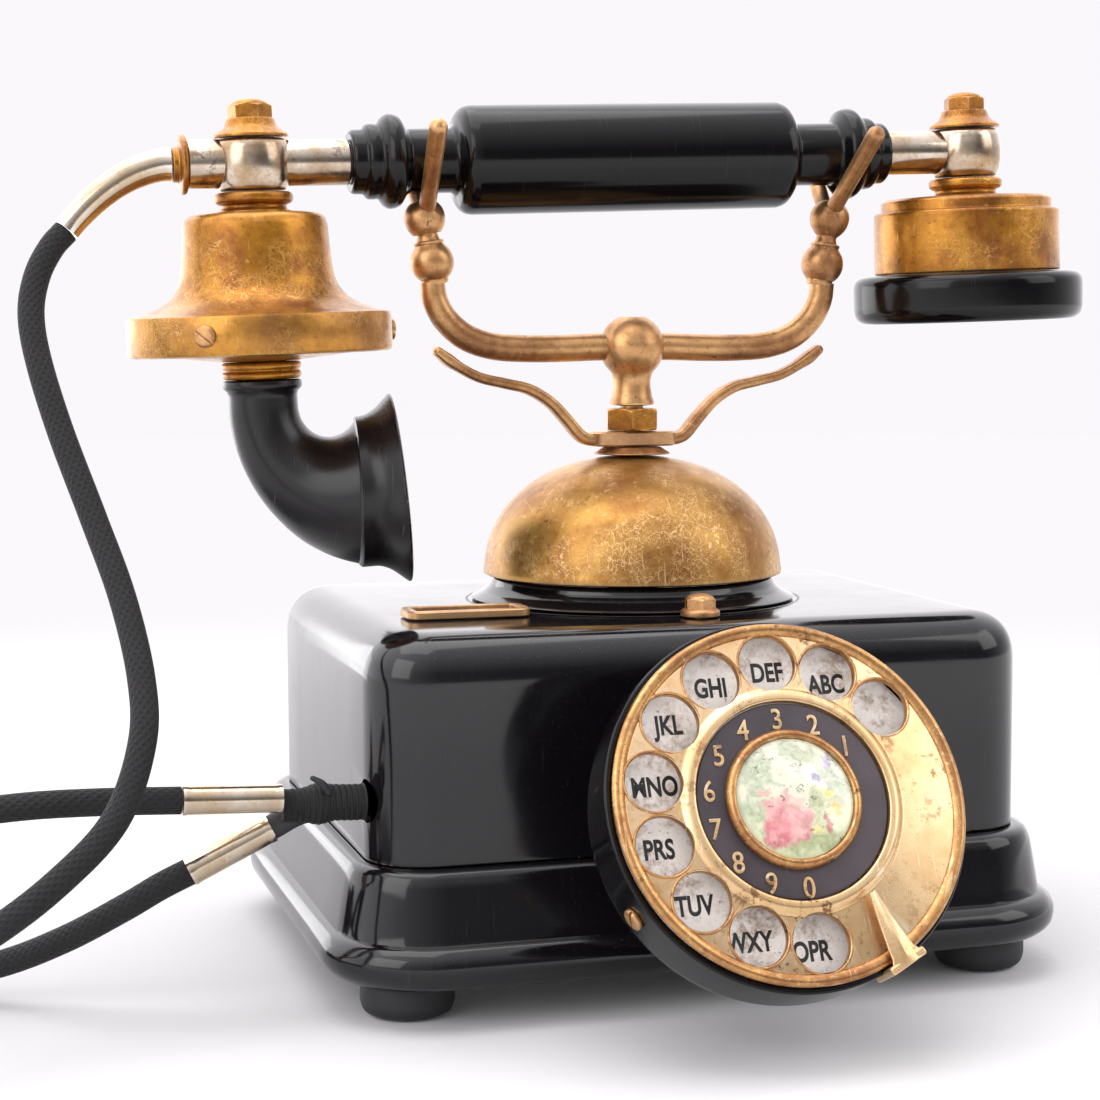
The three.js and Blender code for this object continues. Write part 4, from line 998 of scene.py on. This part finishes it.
def top_plate_fittings():
    place = BELL @ slide(*BOLT, 0)
    washer = lathe(soften([[0, 84], [4.5, 84], [4.5, 85.2], [3.8, 85.8], [0, 85.8]], 0.3), 72)
    head = hexagonal(3.75, 85.7, 88.1, math.radians(20))
    dome = lathe([[0, 87.6], [3.1, 87.6], *bow(3.1, 1.1, 88.05, range(0, 90, 10)), [0, 89.15]], 64)
    shank = cylinder(1.5, 76, 85, 24)
    piece("case_bolt", together(washer, head, dome, shank), place, "base", "copper_brass", "top_bolt", 25)
    place = BELL @ slide(-48.9, -26.8, 0)
    size = {"half_x": 14.4, "half_y": 6.2, "corner": 3, "per": 5, "straight": 2}
    ring = moulding([(-0.2, 84), (0, 84.2), (0, 85.5), (-0.3, 85.8), (-2.2, 85.8), (-2.5, 85.6), (-2.6, 84.8),
                     (-2.6, 84)], **size)
    bed = moulding([(-2.4, 84.05), (-2.4, 84.6)], False, **size)
    piece("card_holder_frame", ring, place, "base", "copper_brass", "card_frame")
    piece("card_holder_bed", bed, place, "base", "grime")


# ---------- dial ----------
def dial_cup():
    shell = soften([[37.6, -1.9], [37.9, -1.7], [38.9, -1.7], [39.2, -2.1], [39.2, -15], [38.4, -17.6], [35.2, -21.2],
                    [28.6, -23.5], [0, -23.5]], 1.2, steps=5)
    inside = [[28, -21.7], [34, -19.4], [36.8, -16.8], [37.6, -15]]
    cup = moved(lathe([[0, -21.7], *inside, *shell], 128), DIAL)
    neck = moved(lathe([[18, 2], [25, 2], [25, 50], [18, 50]], 96),
                 BELL @ slide(0, -45, 46) @ rotation(90, "X"))
    hollow = moved(lathe([[0, 8], [37.5, 8], *inside[::-1], [0, -21.7]], 128), DIAL)
    block = moved(moulding([(-40, 0), (10.6, 0), (10.6, 13.2), (8.6, 18), (6.8, 19), (5, 29.2), (4, 32.6), (0.4, 34),
                            (0.4, 80), (-40, 80)], False), BELL)
    # The neck is cut in millimetres, where the boolean is exact, and the joined shell comes back to metres.
    scale = Matrix.Scale(1000, 4)
    neck = carve(moved(neck, scale), moved(hollow, scale), moved(block, scale))
    piece("dial_cup_shell", together(moved(cup, scale), neck), Matrix.Scale(0.001, 4), "base", "bakelite", "dial_cup")
    place = DIAL @ rotation(210.5, "Z") @ slide(0, 0, -9) @ ALONG_X
    head = moved(screw_head(2.4, 1.2, 0.6, 0.6), slide(0, 0, 39.2))
    piece("dial_cup_side_screw", head, place, "base", "copper_brass", "dial_cup_screw")


def hole_angle(i):
    return math.radians(FIRST_HOLE + HOLE_STEP * i)


def dial_face():
    plate = lathe(soften([[3.4, -6.1], [37, -6.1], [37, -4.8], [36.8, -4.6], [3.4, -4.6]], 0.15, True), 128)
    piece("letter_plate_enamel", plate, DIAL, "base", "white_enamel", "letter_plate")
    holes, lips = [], []
    for i in range(10):
        angle = hole_angle(i)
        place = slide(HOLE_RING * math.cos(angle), HOLE_RING * math.sin(angle), 0)
        holes.append(moved(cylinder(6.15, -3, 3, 64), place))
        lip = soften([[6.05, -1.25], [6.4, -1.3], [6.6, -0.6], [6.75, 0.3], [6.5, 0.58], [6.25, 0.5], [6.05, 0.2]],
                     0.15, True)
        lips.append(moved(lathe(lip, 64), place))
    face = soften([[20.9, -0.4], [20.9, 1.5], [21.3, 1.7], [22.4, 1.7], [23.2, 1.3], [24, 0.6], [35.6, 0.15],
                   [35.6, -1.2], [22, -1.2]], 0.35, True)
    rim = soften([[35.2, -1.2], [36.6, -1.35], [37.8, -0.9], [38.2, -0.1], [37.9, 0.7], [37.1, 1.05], [36.2, 0.8],
                  [35.4, 0.2]], 0.6, True, 4)
    wheel = carve(lathe(face, 160), *holes)
    piece("finger_wheel_plate", wheel, DIAL, "dial", "gold", "finger_wheel")
    piece("finger_hole_lips", together(*lips), DIAL, "dial", "rim")
    piece("finger_wheel_rim", lathe(rim, 160), DIAL, "dial", "rim")
    disc = lathe(soften([[0, -0.1], [20.6, -0.1], [20.6, 0.7], [20.3, 0.9], [0, 0.9]], 0.2), 128)
    piece("number_disc_face", disc, DIAL, "dial", "violet_enamel", "number_disc")
    bezel = lathe(soften([[12.6, 1], [14.7, 1], [14.7, 2], [14.1, 2.9], [13.4, 3.15], [12.8, 2.9], [12.6, 2.3]], 0.5,
                         True, 4), 128)
    piece("medallion_ring", bezel, DIAL, "dial", "rim", "medallion_bezel")
    finger_stop()


def finger_stop():
    """A creased strip that bends towards the holes and ends in a foot on the cup's wall."""
    rings = []
    thick, crease, under = 0.95, 0.45, 2.15
    for x, half in ((24, 0.7), (30, 1.6), (35, 2.5), (37.4, 2.9), (38.8, 3.7), (40.1, 4.4)):
        bend = 2.1 * ((40 - min(x, 40)) / 16) ** 1.6
        rings.append([(x, y + bend, under + z) for y, z in (
            (-half, 0), (half, 0), (half, thick * 0.6), (half * 0.35, thick),
            (0, thick + crease * min(1, (41 - x) / 6)), (-half * 0.35, thick), (-half, thick * 0.6))])
    foot = moulding([(-0.25, -6), (0, -5.7), (0, 2.6), (-0.35, 3)], False, half_x=0.9, half_y=4.5, corner=0.6, per=5)
    foot = moved(foot, slide(39.3, 0, 0))
    piece("finger_stop_strip", together(loft(rings), foot), DIAL @ rotation(-62.2, "Z"), "base",
          "gold", "finger_stop", bevel=0.15)


def lettering(text, size, depth, bevel=0.0, weight=0.0):
    data = bpy.data.curves.new("text", "FONT")
    data.body = text
    data.size = size
    data.align_x = "CENTER"
    data.extrude = depth
    data.bevel_depth = bevel
    data.offset = weight
    data.resolution_u = 6
    made = put("text", data)
    mesh = bpy.data.meshes.new_from_object(made.evaluated_get(bpy.context.evaluated_depsgraph_get()))
    bpy.data.objects.remove(made)
    shape = ([tuple(v.co) for v in mesh.vertices], [list(p.vertices) for p in mesh.polygons])
    ys = [v[1] for v in shape[0]]
    return moved(shape, slide(0, -(min(ys) + max(ys)) / 2, 0))


def dial_marks():
    """Ordinary dial letters and digits, all upright, each row a little off the holes' centres."""
    words = ["", "ABC", "DEF", "GHI", "JKL", "MNO", "PRS", "TUV", "WXY", "OPR"]
    letters, digits = [], []
    for i, word in enumerate(words):
        angle = hole_angle(i)
        x, y = math.cos(angle), math.sin(angle)
        if word:
            turned = angle - math.radians(2)
            reach = HOLE_RING - (1 if word == "MNO" else 0)
            place = slide(reach * math.cos(turned) + 0.5, reach * math.sin(turned) - 0.6, -4.58)
            letters.append(moved(lettering(word, 5.7, 0.03, 0, 0.17), place @ Matrix.Diagonal((0.74, 1, 1, 1))))
        place = slide(17.7 * x - 0.5, 17.7 * y - 0.6, 1.0) @ Matrix.Diagonal((0.85, 1, 1, 1))
        digits.append(moved(lettering(str((i + 1) % 10), 6.2, 0.2, 0.06), place))
    piece("dial_letters", together(*letters), DIAL, "base", "ink")
    piece("dial_digits", together(*digits), DIAL, "dial", "gold")


def blob(u, v, x, y, rx, ry, seed, rough=0.35):
    """How far inside a rough-edged patch a point is: above 0 inside."""
    du, dv = (u - x) / rx, (v - y) / ry
    wobble = noise.noise(Vector((u * 6 + seed, v * 6, seed * 0.7))) * rough
    return 1 + wobble - math.hypot(du, dv)


def painting(u, v):
    """A made-up garden: pale sky, trees, a rose bush and flower beds. u and v run from -1 to 1."""
    first, second = Vector((u * 3.5, v * 3.5, 7.7)), Vector((u * 11, v * 11, 1.9))
    u += 0.16 * noise.noise(first) + 0.07 * noise.noise(second)
    v += 0.16 * noise.noise(first + Vector((5, 2, 1))) + 0.07 * noise.noise(second + Vector((3, 8, 2)))
    grain = noise.noise(Vector((u * 9, v * 9, 3.3)))
    sky = Vector((0.74, 0.8, 0.62)).lerp(Vector((0.84, 0.8, 0.62)), 0.5 + 0.5 * grain)
    colour = sky.lerp(Vector((0.6, 0.66, 0.36)), min(1, max(0, 0.2 - v)) * 0.7)
    leaves = [(-0.62, 0.42, 0.42, 0.4, (0.2, 0.34, 0.14)), (0.1, 0.75, 0.5, 0.26, (0.3, 0.42, 0.2)),
              (0.72, 0.36, 0.34, 0.52, (0.14, 0.24, 0.1)), (0.45, -0.1, 0.36, 0.3, (0.34, 0.36, 0.08)),
              (-0.75, -0.2, 0.3, 0.34, (0.24, 0.36, 0.16)), (0.3, -0.72, 0.6, 0.24, (0.25, 0.32, 0.1))]
    for seed, (x, y, rx, ry, tone) in enumerate(leaves):
        inside = blob(u, v, x, y, rx, ry, seed + 1.0, 0.6)
        shade = 0.75 + 0.6 * noise.noise(Vector((u * 16, v * 16, seed)))
        cover = 0.45 + 0.3 * noise.noise(Vector((u * 14, v * 14, seed + 4)))
        colour = colour.lerp(Vector(tone) * shade, min(1, max(0, inside * 2)) * cover)
    blossoms = [(-0.3, -0.3, 0.36, (0.86, 0.26, 0.3)), (-0.02, -0.46, 0.3, (0.9, 0.4, 0.42)),
                (-0.42, -0.58, 0.26, (0.8, 0.22, 0.28)), (-0.12, -0.08, 0.22, (0.92, 0.55, 0.5)),
                (0.5, 0.02, 0.13, (0.9, 0.72, 0.12)), (0.66, -0.2, 0.12, (0.85, 0.6, 0.1)),
                (0.36, 0.28, 0.13, (0.25, 0.16, 0.42)), (0.62, 0.52, 0.1, (0.3, 0.2, 0.5)),
                (0.26, -0.52, 0.1, (0.92, 0.8, 0.3)), (0.5, -0.5, 0.11, (0.75, 0.2, 0.25)),
                (-0.55, 0.12, 0.1, (0.9, 0.5, 0.45)), (0.05, 0.42, 0.12, (0.85, 0.8, 0.72))]
    for seed, (x, y, size, tone) in enumerate(blossoms):
        du, dv = u - x, v - y
        away, angle = math.hypot(du, dv) / size, math.atan2(dv, du)
        petals = 1 + 0.16 * math.cos(5 * angle + seed)
        inside = min(1, max(0, (petals - away) * 3)) * 0.85
        fold = 0.86 + 0.14 * math.cos(5 * away + 1.2 * angle + seed)
        colour = colour.lerp((Vector(tone) * fold).lerp(Vector((0.95, 0.85, 0.75)), max(0, fold - 0.9) * 2), inside)
    return colour * (1 + 0.12 * noise.noise(Vector((u * 30, v * 30, 9))))


def medallion():
    rings, radius, crown, edge = 64, 12.55, 3.9, 2.1
    profile = [[radius * k / rings, edge + (crown - edge) * (1 - (k / rings) ** 2.2)] for k in range(1, rings + 1)]
    shape = lathe([[0, crown], *profile, [radius, 1.2], [0, 1.2]], 144)
    made = piece("medallion_dome", shape, DIAL, "dial", "porcelain", "medallion")
    back = DIAL.inverted()
    paint = made.data.color_attributes.new("paint", "FLOAT_COLOR", "POINT")
    for vertex in made.data.vertices:
        at = back @ vertex.co
        paint.data[vertex.index].color = (*painting(at.x / radius, at.y / radius), 1)


# ---------- cradle ----------
def cradle():
    profile = [[0, 61.5], [2.8, 61.5], [2.8, 130.6], [3.8, 130.7], [5.3, 130.9], [5.4, 131.6], [4.9, 133],
               [4.55, 135], [4.5, 136.6], [4.9, 138.4], *bow(7.9, 7.9, BALL_Z, range(-46, 66, 4)),
               [3.2, 152.15], [3, 151.9], [0, 151.85]]
    hole = moved(cylinder(3.33, -20, 20), slide(0, 0, BALL_Z) @ ALONG_X)
    piece("cradle_ball", carve(lathe(profile, 96), hole), BELL, "cradle", "copper_brass", "cradle_plunger")
    half = [(0, 0, BALL_Z), (9, 0, BALL_Z), (18, 0, 144.6), (27, 0, 144.6), (35, 0, 145.2), (41.6, 0, 147.4),
            (46.4, 0, 151.4), (49, 0, 156), (BAR_END_X, 0, 160.5)]
    line = [(-x, y, z) for x, y, z in reversed(half[1:])] + half
    shapes = [sweep(flow(line, 6), lambda t: 3.3 - 0.3 * abs(2 * t - 1) ** 3, 28)]
    for side in (-1, 1):
        bead = [[0, -5.3], [3, -5.2], [3.2, -4.6], *bow(5.2, 5.2, 0, range(-52, 50, 6)), [3.4, 4.2], [3.6, 4.5],
                [3.6, 4.9], [3.3, 5.1], [0, 5.1]]
        shapes.append(moved(lathe(bead, 72), slide(side * BAR_END_X, 0, BEAD_Z) @ rotation(side * BAR_LEAN, "Y")))
    piece("cradle_u_bar", together(*shapes), BELL, "cradle", "copper_brass", "cradle_bar")
    fork("left", -1, 0, 194.7, 1.7)
    fork("right", 1, 1, 195.1, 2.6)


def fork(name, side, lift, top, splay):
    lean = rotation(side * BAR_LEAN, "Y")
    centre = Vector((side * BAR_END_X, 0, BEAD_Z)) + lean @ Vector((0, 0, 10.3 + lift))
    start = 5.0 - 10.3 - lift
    bead = soften([[0, start], [2.9, start], [2.6, start + 0.8], [2.4, start + 1.8], [3.3, -3.7], [4.5, -2.1],
                   [5, 0.2], [4.5, 2.4], [3, 4.1], [0, 4.9]], 1.6, steps=5)
    shapes = [moved(lathe(bead, 72), Matrix.Translation(centre) @ lean)]
    for way in (-1, 1):
        tip = Vector((centre.x + side * splay, way * 22, top))
        knee = centre + Vector((0, way * 2.4, 2.2))
        path = flow([centre + Vector((0, way * 0.4, 1)), knee, knee.lerp(tip, 0.45), tip], 8)
        shapes.append(sweep(path, lambda t: 1.95 + 0.2 * t + 0.5 * math.exp(-(t / 0.1) ** 2), 24, round_ends=True))
    piece(f"cradle_fork_{name}", together(*shapes), BELL, "cradle", "copper_brass", f"fork_{name}")


# ---------- handset ----------
def grip():
    half = [[12.95, 0], [12.95, 38.7], [12.4, 40.5], [10.8, 41.7], [8.4, 42.2], [7.6, 43.1], [7.6, 53.8], [8.6, 54.6],
            [10.6, 55.8], [11.1, 57.2], [11.1, 58.6], [10.2, 59.8], [8.7, 60.8], [8.9, 62.2], [8.7, 63.6], [7.6, 64.3],
            [7.5, 66.8], [6.9, 67.5]]
    profile = [[r, -x] for r, x in reversed(half[1:])] + half[1:] + [[4, 67.5], [4, -67.5]]
    shape = lathe(soften(profile, 0.9, True, 4), 96)
    piece("grip_bakelite", moved(shape, ALONG_X), HANDSET, "handset", "bakelite", "grip")


def turned_on_x(profile, radius=0.4, segments=72):
    return moved(lathe(soften(profile, radius, profile[0][0] > 0), segments), ALONG_X)


def knuckles():
    barrel = lathe(soften([[0, -6.3], [7.7, -6.3], [8.4, -4.8], [9, -1.6], [9, 1.4], [8.5, 4.2], [7.7, 5.6], [0, 5.6]],
                          1.6, steps=6), 96)
    for name, side, at in (("transmitter", -1, TRANSMITTER), ("receiver", 1, RECEIVER)):
        flip = Matrix.Diagonal((-side, 1, 1, 1))
        stub = moved(turned_on_x([[0, 2], [5.4, 2], [5.35, 22.4], [0, 22.4]], 0.3), flip)
        shapes = [barrel, stub]
        if side < 0:
            shapes.append(turned_on_x([[0, -2], [5.7, -2], [5.6, -15.1], [0, -15.1]], 0.3))
        piece(f"{name}_worn_knuckle", together(*shapes), at, "handset", "nickel", f"{name}_knuckle")
        washer = lathe(soften([[0, 5.9], [8.7, 5.9], [8.75, 6.5], [7.6, 7.3], [6.2, 8.4], [5.5, 10.2], [5, 10.5],
                               [0, 10.6]], 0.7, steps=4), 96)
        piece(f"{name}_cap_washer", washer, at, "handset", "aged_brass", f"{name}_cap_nut")
        head = hexagonal(5.15, 10.3, 13.5, side * 0.3)
        dome = lathe([[0, 13], [4.2, 13], *bow(4.2, 1.5, 13.4, range(0, 90, 9)), [0, 14.9]], 64)
        piece(f"{name}_cap_hexagon", together(head, dome), at, "handset", "aged_brass", sharp=25)
        ring = soften([[0, -6.6], [8.5, -6.6], [9.15, -7.2], [9.15, -8.6], [8.5, -9.2], [7.6, -9.5], [7.6, -10.2],
                       [8.7, -11.25], [0, -11.25]], 0.5, steps=4)
        piece(f"{name}_neck_ring", lathe(ring, 96), at, "handset", "aged_brass", f"{name}_ring")
    gland = [[0, -105.5], [6.6, -105.5], [6.9, -106], [6.85, -106.7], [6, -107], [4.1, -107.2], [3.95, -108.7],
             [0, -108.7]]
    piece("gland_flange", turned_on_x(gland, 0.35), HANDSET, "handset", "aged_brass", "cord_gland")


def transmitter():
    flare = curve([(17, -18), (17.7, -25), (18.9, -28.6), (21.8, -31.7), (26.4, -33.8), (29.4, -34.5)], 5)
    outer = [(0, -11.4), (13.6, -11.4), (15.3, -11.8), (16.3, -12.8), (16.8, -14.4), *flare, (30.4, -34.8),
             (30.7, -35.4), (30.7, -42.9), (30.4, -43.6), (29.6, -43.9), (28.6, -43.8)]
    inner = [(28.6, -36.8), (25.4, -35.9), (20.6, -33.6), (17, -30), (15.9, -25), (15, -14.8), (13.8, -13.4),
             (0, -13.4)]
    housing = lathe([*outer, *inner], 144)
    piece("transmitter_bell", housing, TRANSMITTER, "handset", "aged_brass", "transmitter_housing")
    for i in range(3):
        place = TRANSMITTER @ rotation(-122 + 120 * i, "Z") @ slide(30.5, 0, -39.2) @ ALONG_X
        piece(f"rim_screw_{i + 1}", screw_head(2.5, 1.3, 0.6, 0.9 + i), place, "handset", "copper_brass")
    plate = soften([[7, -41.6], [28.3, -41.6], [28.3, -43.7], [20, -44.2], [9.4, -45.4], [7, -45.4]], 0.4, True)
    piece("transmitter_under_plate", lathe(plate, 96), TRANSMITTER, "handset", "aged_brass", "transmitter_plate")
    thread = [[6.2, -45.6], [8.7, -45.6], [9.25, -46.1], [9.25, -47], [8.6, -47.6], [9.25, -48.2], [9.25, -49],
              [8.7, -49.6], [6.2, -49.6]]
    piece("transmitter_thread_collar", lathe(soften(thread, 0.5, True, 4), 96), TRANSMITTER, "handset", "aged_brass",
          "transmitter_collar")
    mouthpiece()


def mouthpiece():
    """The trumpet turned straight, then bent: it drops, follows an arc and runs out along the last tangent."""
    tube = curve([(8, 3.6), (8.1, 8), (8.4, 13), (9.4, 19), (11.3, 25.5), (14, 32), (16.8, 38.9)])
    horn = curve([(17.7, 40), (17.9, 42.6), (19.1, 45.2), (22, 48.6)])
    throat = curve([(20.8, 49.3), (17.4, 44.6), (14, 37), (9.6, 28), (7, 20), (6.1, 12), (6, 0.2)])
    profile = [(6.2, 0), (8.6, 0), (9.1, 0.3), (9.2, 0.9), (9.2, 1.6), (8.9, 2.1), (8.3, 2.6), *tube, (17.3, 39.1),
               (17.7, 39.4), *horn, (22.25, 48.95), (22.2, 49.3), (21.8, 49.5), (21.3, 49.45), *throat]
    vertices, faces = lathe(profile, 96)
    radius, sweep_angle, drop = 21, math.radians(94), 6.2
    arc = radius * sweep_angle
    out = []
    for x, y, z in vertices:
        along = max(0.0, z)
        if along < drop:
            place, tangent = Vector((0, NECK_BOTTOM - along)), Vector((0, -1))
        else:
            angle = min((along - drop) / radius, sweep_angle)
            place = Vector((radius - radius * math.cos(angle), NECK_BOTTOM - drop - radius * math.sin(angle)))
            tangent = Vector((math.sin(angle), -math.cos(angle)))
            place = place + tangent * max(0.0, along - drop - arc)
        out.append((place.x + tangent.y * x, y, place.y - tangent.x * x))
    piece("mouthpiece_elbow", moved((out, faces), rotation(-8, "Z")), TRANSMITTER, "handset",
          "worn_bakelite", "mouthpiece")


def receiver():
    cup = soften([[0, -11.4], [19.9, -11.4], [21.3, -12.2], [21.3, -14.6], [22.7, -14.8], [23.1, -15.4], [23.1, -30.1],
                  [21.2, -30.1], [21.2, -16.8], [19.4, -13.4], [0, -13.4]], 0.4)
    piece("receiver_brass_cup", lathe(cup, 128), RECEIVER, "handset", "aged_brass", "receiver_cup")
    cap = soften([[21, -30.4], [26.2, -30.4], [27.6, -30.9], [28.5, -32], [28.75, -33.6], [28.7, -39.4], [28.2, -41.2],
                  [26.8, -42.4], [24, -42.6], [14, -40.4], [8.4, -39.7], [7.6, -38.8], [8.4, -38], [19, -38],
                  [21, -36.4]], 0.8, True, 4)
    piece("receiver_ear_cap", lathe(cap, 128), RECEIVER, "handset", "bakelite", "ear_cap")


def sleeves():
    start, bend, end = Vector((-109.1, 0, 0)), Vector((-122, 0, -1.4)), Vector((-133, 0, -14.1))
    straight = Vector((-110.4, 0, 0))
    path = [start] + [straight * (1 - t) ** 2 + bend * 2 * t * (1 - t) + end * t ** 2
                      for t in (k / 24 for k in range(25))]
    turn = BELL.inverted() @ HANDSET
    taper([turn @ p for p in path], 3.85, 3.1, "handset_cord_sleeve", "handset", "sleeve", ["handset_sleeve"])
    for name, (a, b), replaced in (("lower_cord_sleeve", LOWER_SLEEVE, "handset_base_sleeve"),
                                   ("line_cord_sleeve", LINE_SLEEVE, "line_sleeve")):
        line = [Vector(a).lerp(Vector(b), k / 30) for k in range(31)]
        taper(line, 3.0, 3.15, name, "base", "sleeve", [replaced])
    binding()


def binding():
    """Two cords lashed together with cotton at the hole in the case, with a tail to the lower sleeve."""
    rings = []
    last = 60
    for k in range(last + 1):
        share = k / last
        swell = 1 + 0.02 * math.sin(share * 2 * math.pi * 13) + (0.06 if k in (0, last) else 0)
        swell *= 1 - 0.12 * share ** 3
        knot = 0.7 * math.exp(-((share - 0.55) / 0.12) ** 2)
        ring = []
        for i in range(32):
            angle = 2 * math.pi * i / 32
            wave = 1 + 0.03 * math.sin(angle * 3 + share * 9)
            ring.append((-77.6 - 18.2 * share, ENTRY_Y + (4.2 * swell * wave + knot) * math.cos(angle),
                         ENTRY_Z + (3.9 * swell * wave + knot) * math.sin(angle)))
        rings.append(ring)
    made = piece("cord_lashing", loft(rings), BELL, "base", "binding", "cord_binding", 60)
    tail = flow([(-98.6, -46.9, 41.2), (-96, -47.2, 42.6), (-92.6, -48.2, 44.6), (-88, -49.2, 46.2)], 5)
    piece("lashed_cord_tail", sweep(tail, lambda t: 2.75, 20, round_ends=True), BELL, "base", "rubber")
    thread = flow([(-86, -52.4, 49.8), (-87.4, -53.6, 52), (-89.6, -53.8, 53.4)], 4)
    piece("loose_thread_end", sweep(thread, lambda t: 1.0 - 0.45 * t, 12, round_ends=True), BELL, "base", "rubber")
    layer = made.data.uv_layers.new(name="UVMap")
    for loop in made.data.loops:
        at = BELL.inverted() @ made.data.vertices[loop.vertex_index].co
        layer.data[loop.index].uv = (math.atan2(at.z - ENTRY_Z, at.y - ENTRY_Y) / (2 * math.pi), at.x * 0.1)


def insides():
    """CAD nodes that stay as they are and take a better material."""
    kept = {
        "dial_chassis": "steel", "ringer_frame": "steel", "ringer_coil_left": "coil_tape",
        "ringer_coil_right": "coil_tape", "hook_switch": "fibre", "terminal_block": "fibre",
        "dial_spindle": "aged_brass", "governor": "aged_brass", "clapper": "aged_brass", "tie_rod": "steel",
        "carbon_capsule": "steel", "receiver_unit": "steel",
    }
    for name, look in kept.items():
        for place in NODES[name].material_slots:
            place.material = LOOKS[look].material


case()
bell()
top_plate_fittings()
dial_cup()
dial_face()
dial_marks()
medallion()
cradle()
grip()
knuckles()
transmitter()
receiver()
sleeves()
insides()


def plain(box):
    return [[round(c, 6) for c in corner] for corner in box]


with open("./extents.json", "w") as out:
    json.dump({"cad": plain(cad_box), "visual": plain(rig.bounds())}, out)
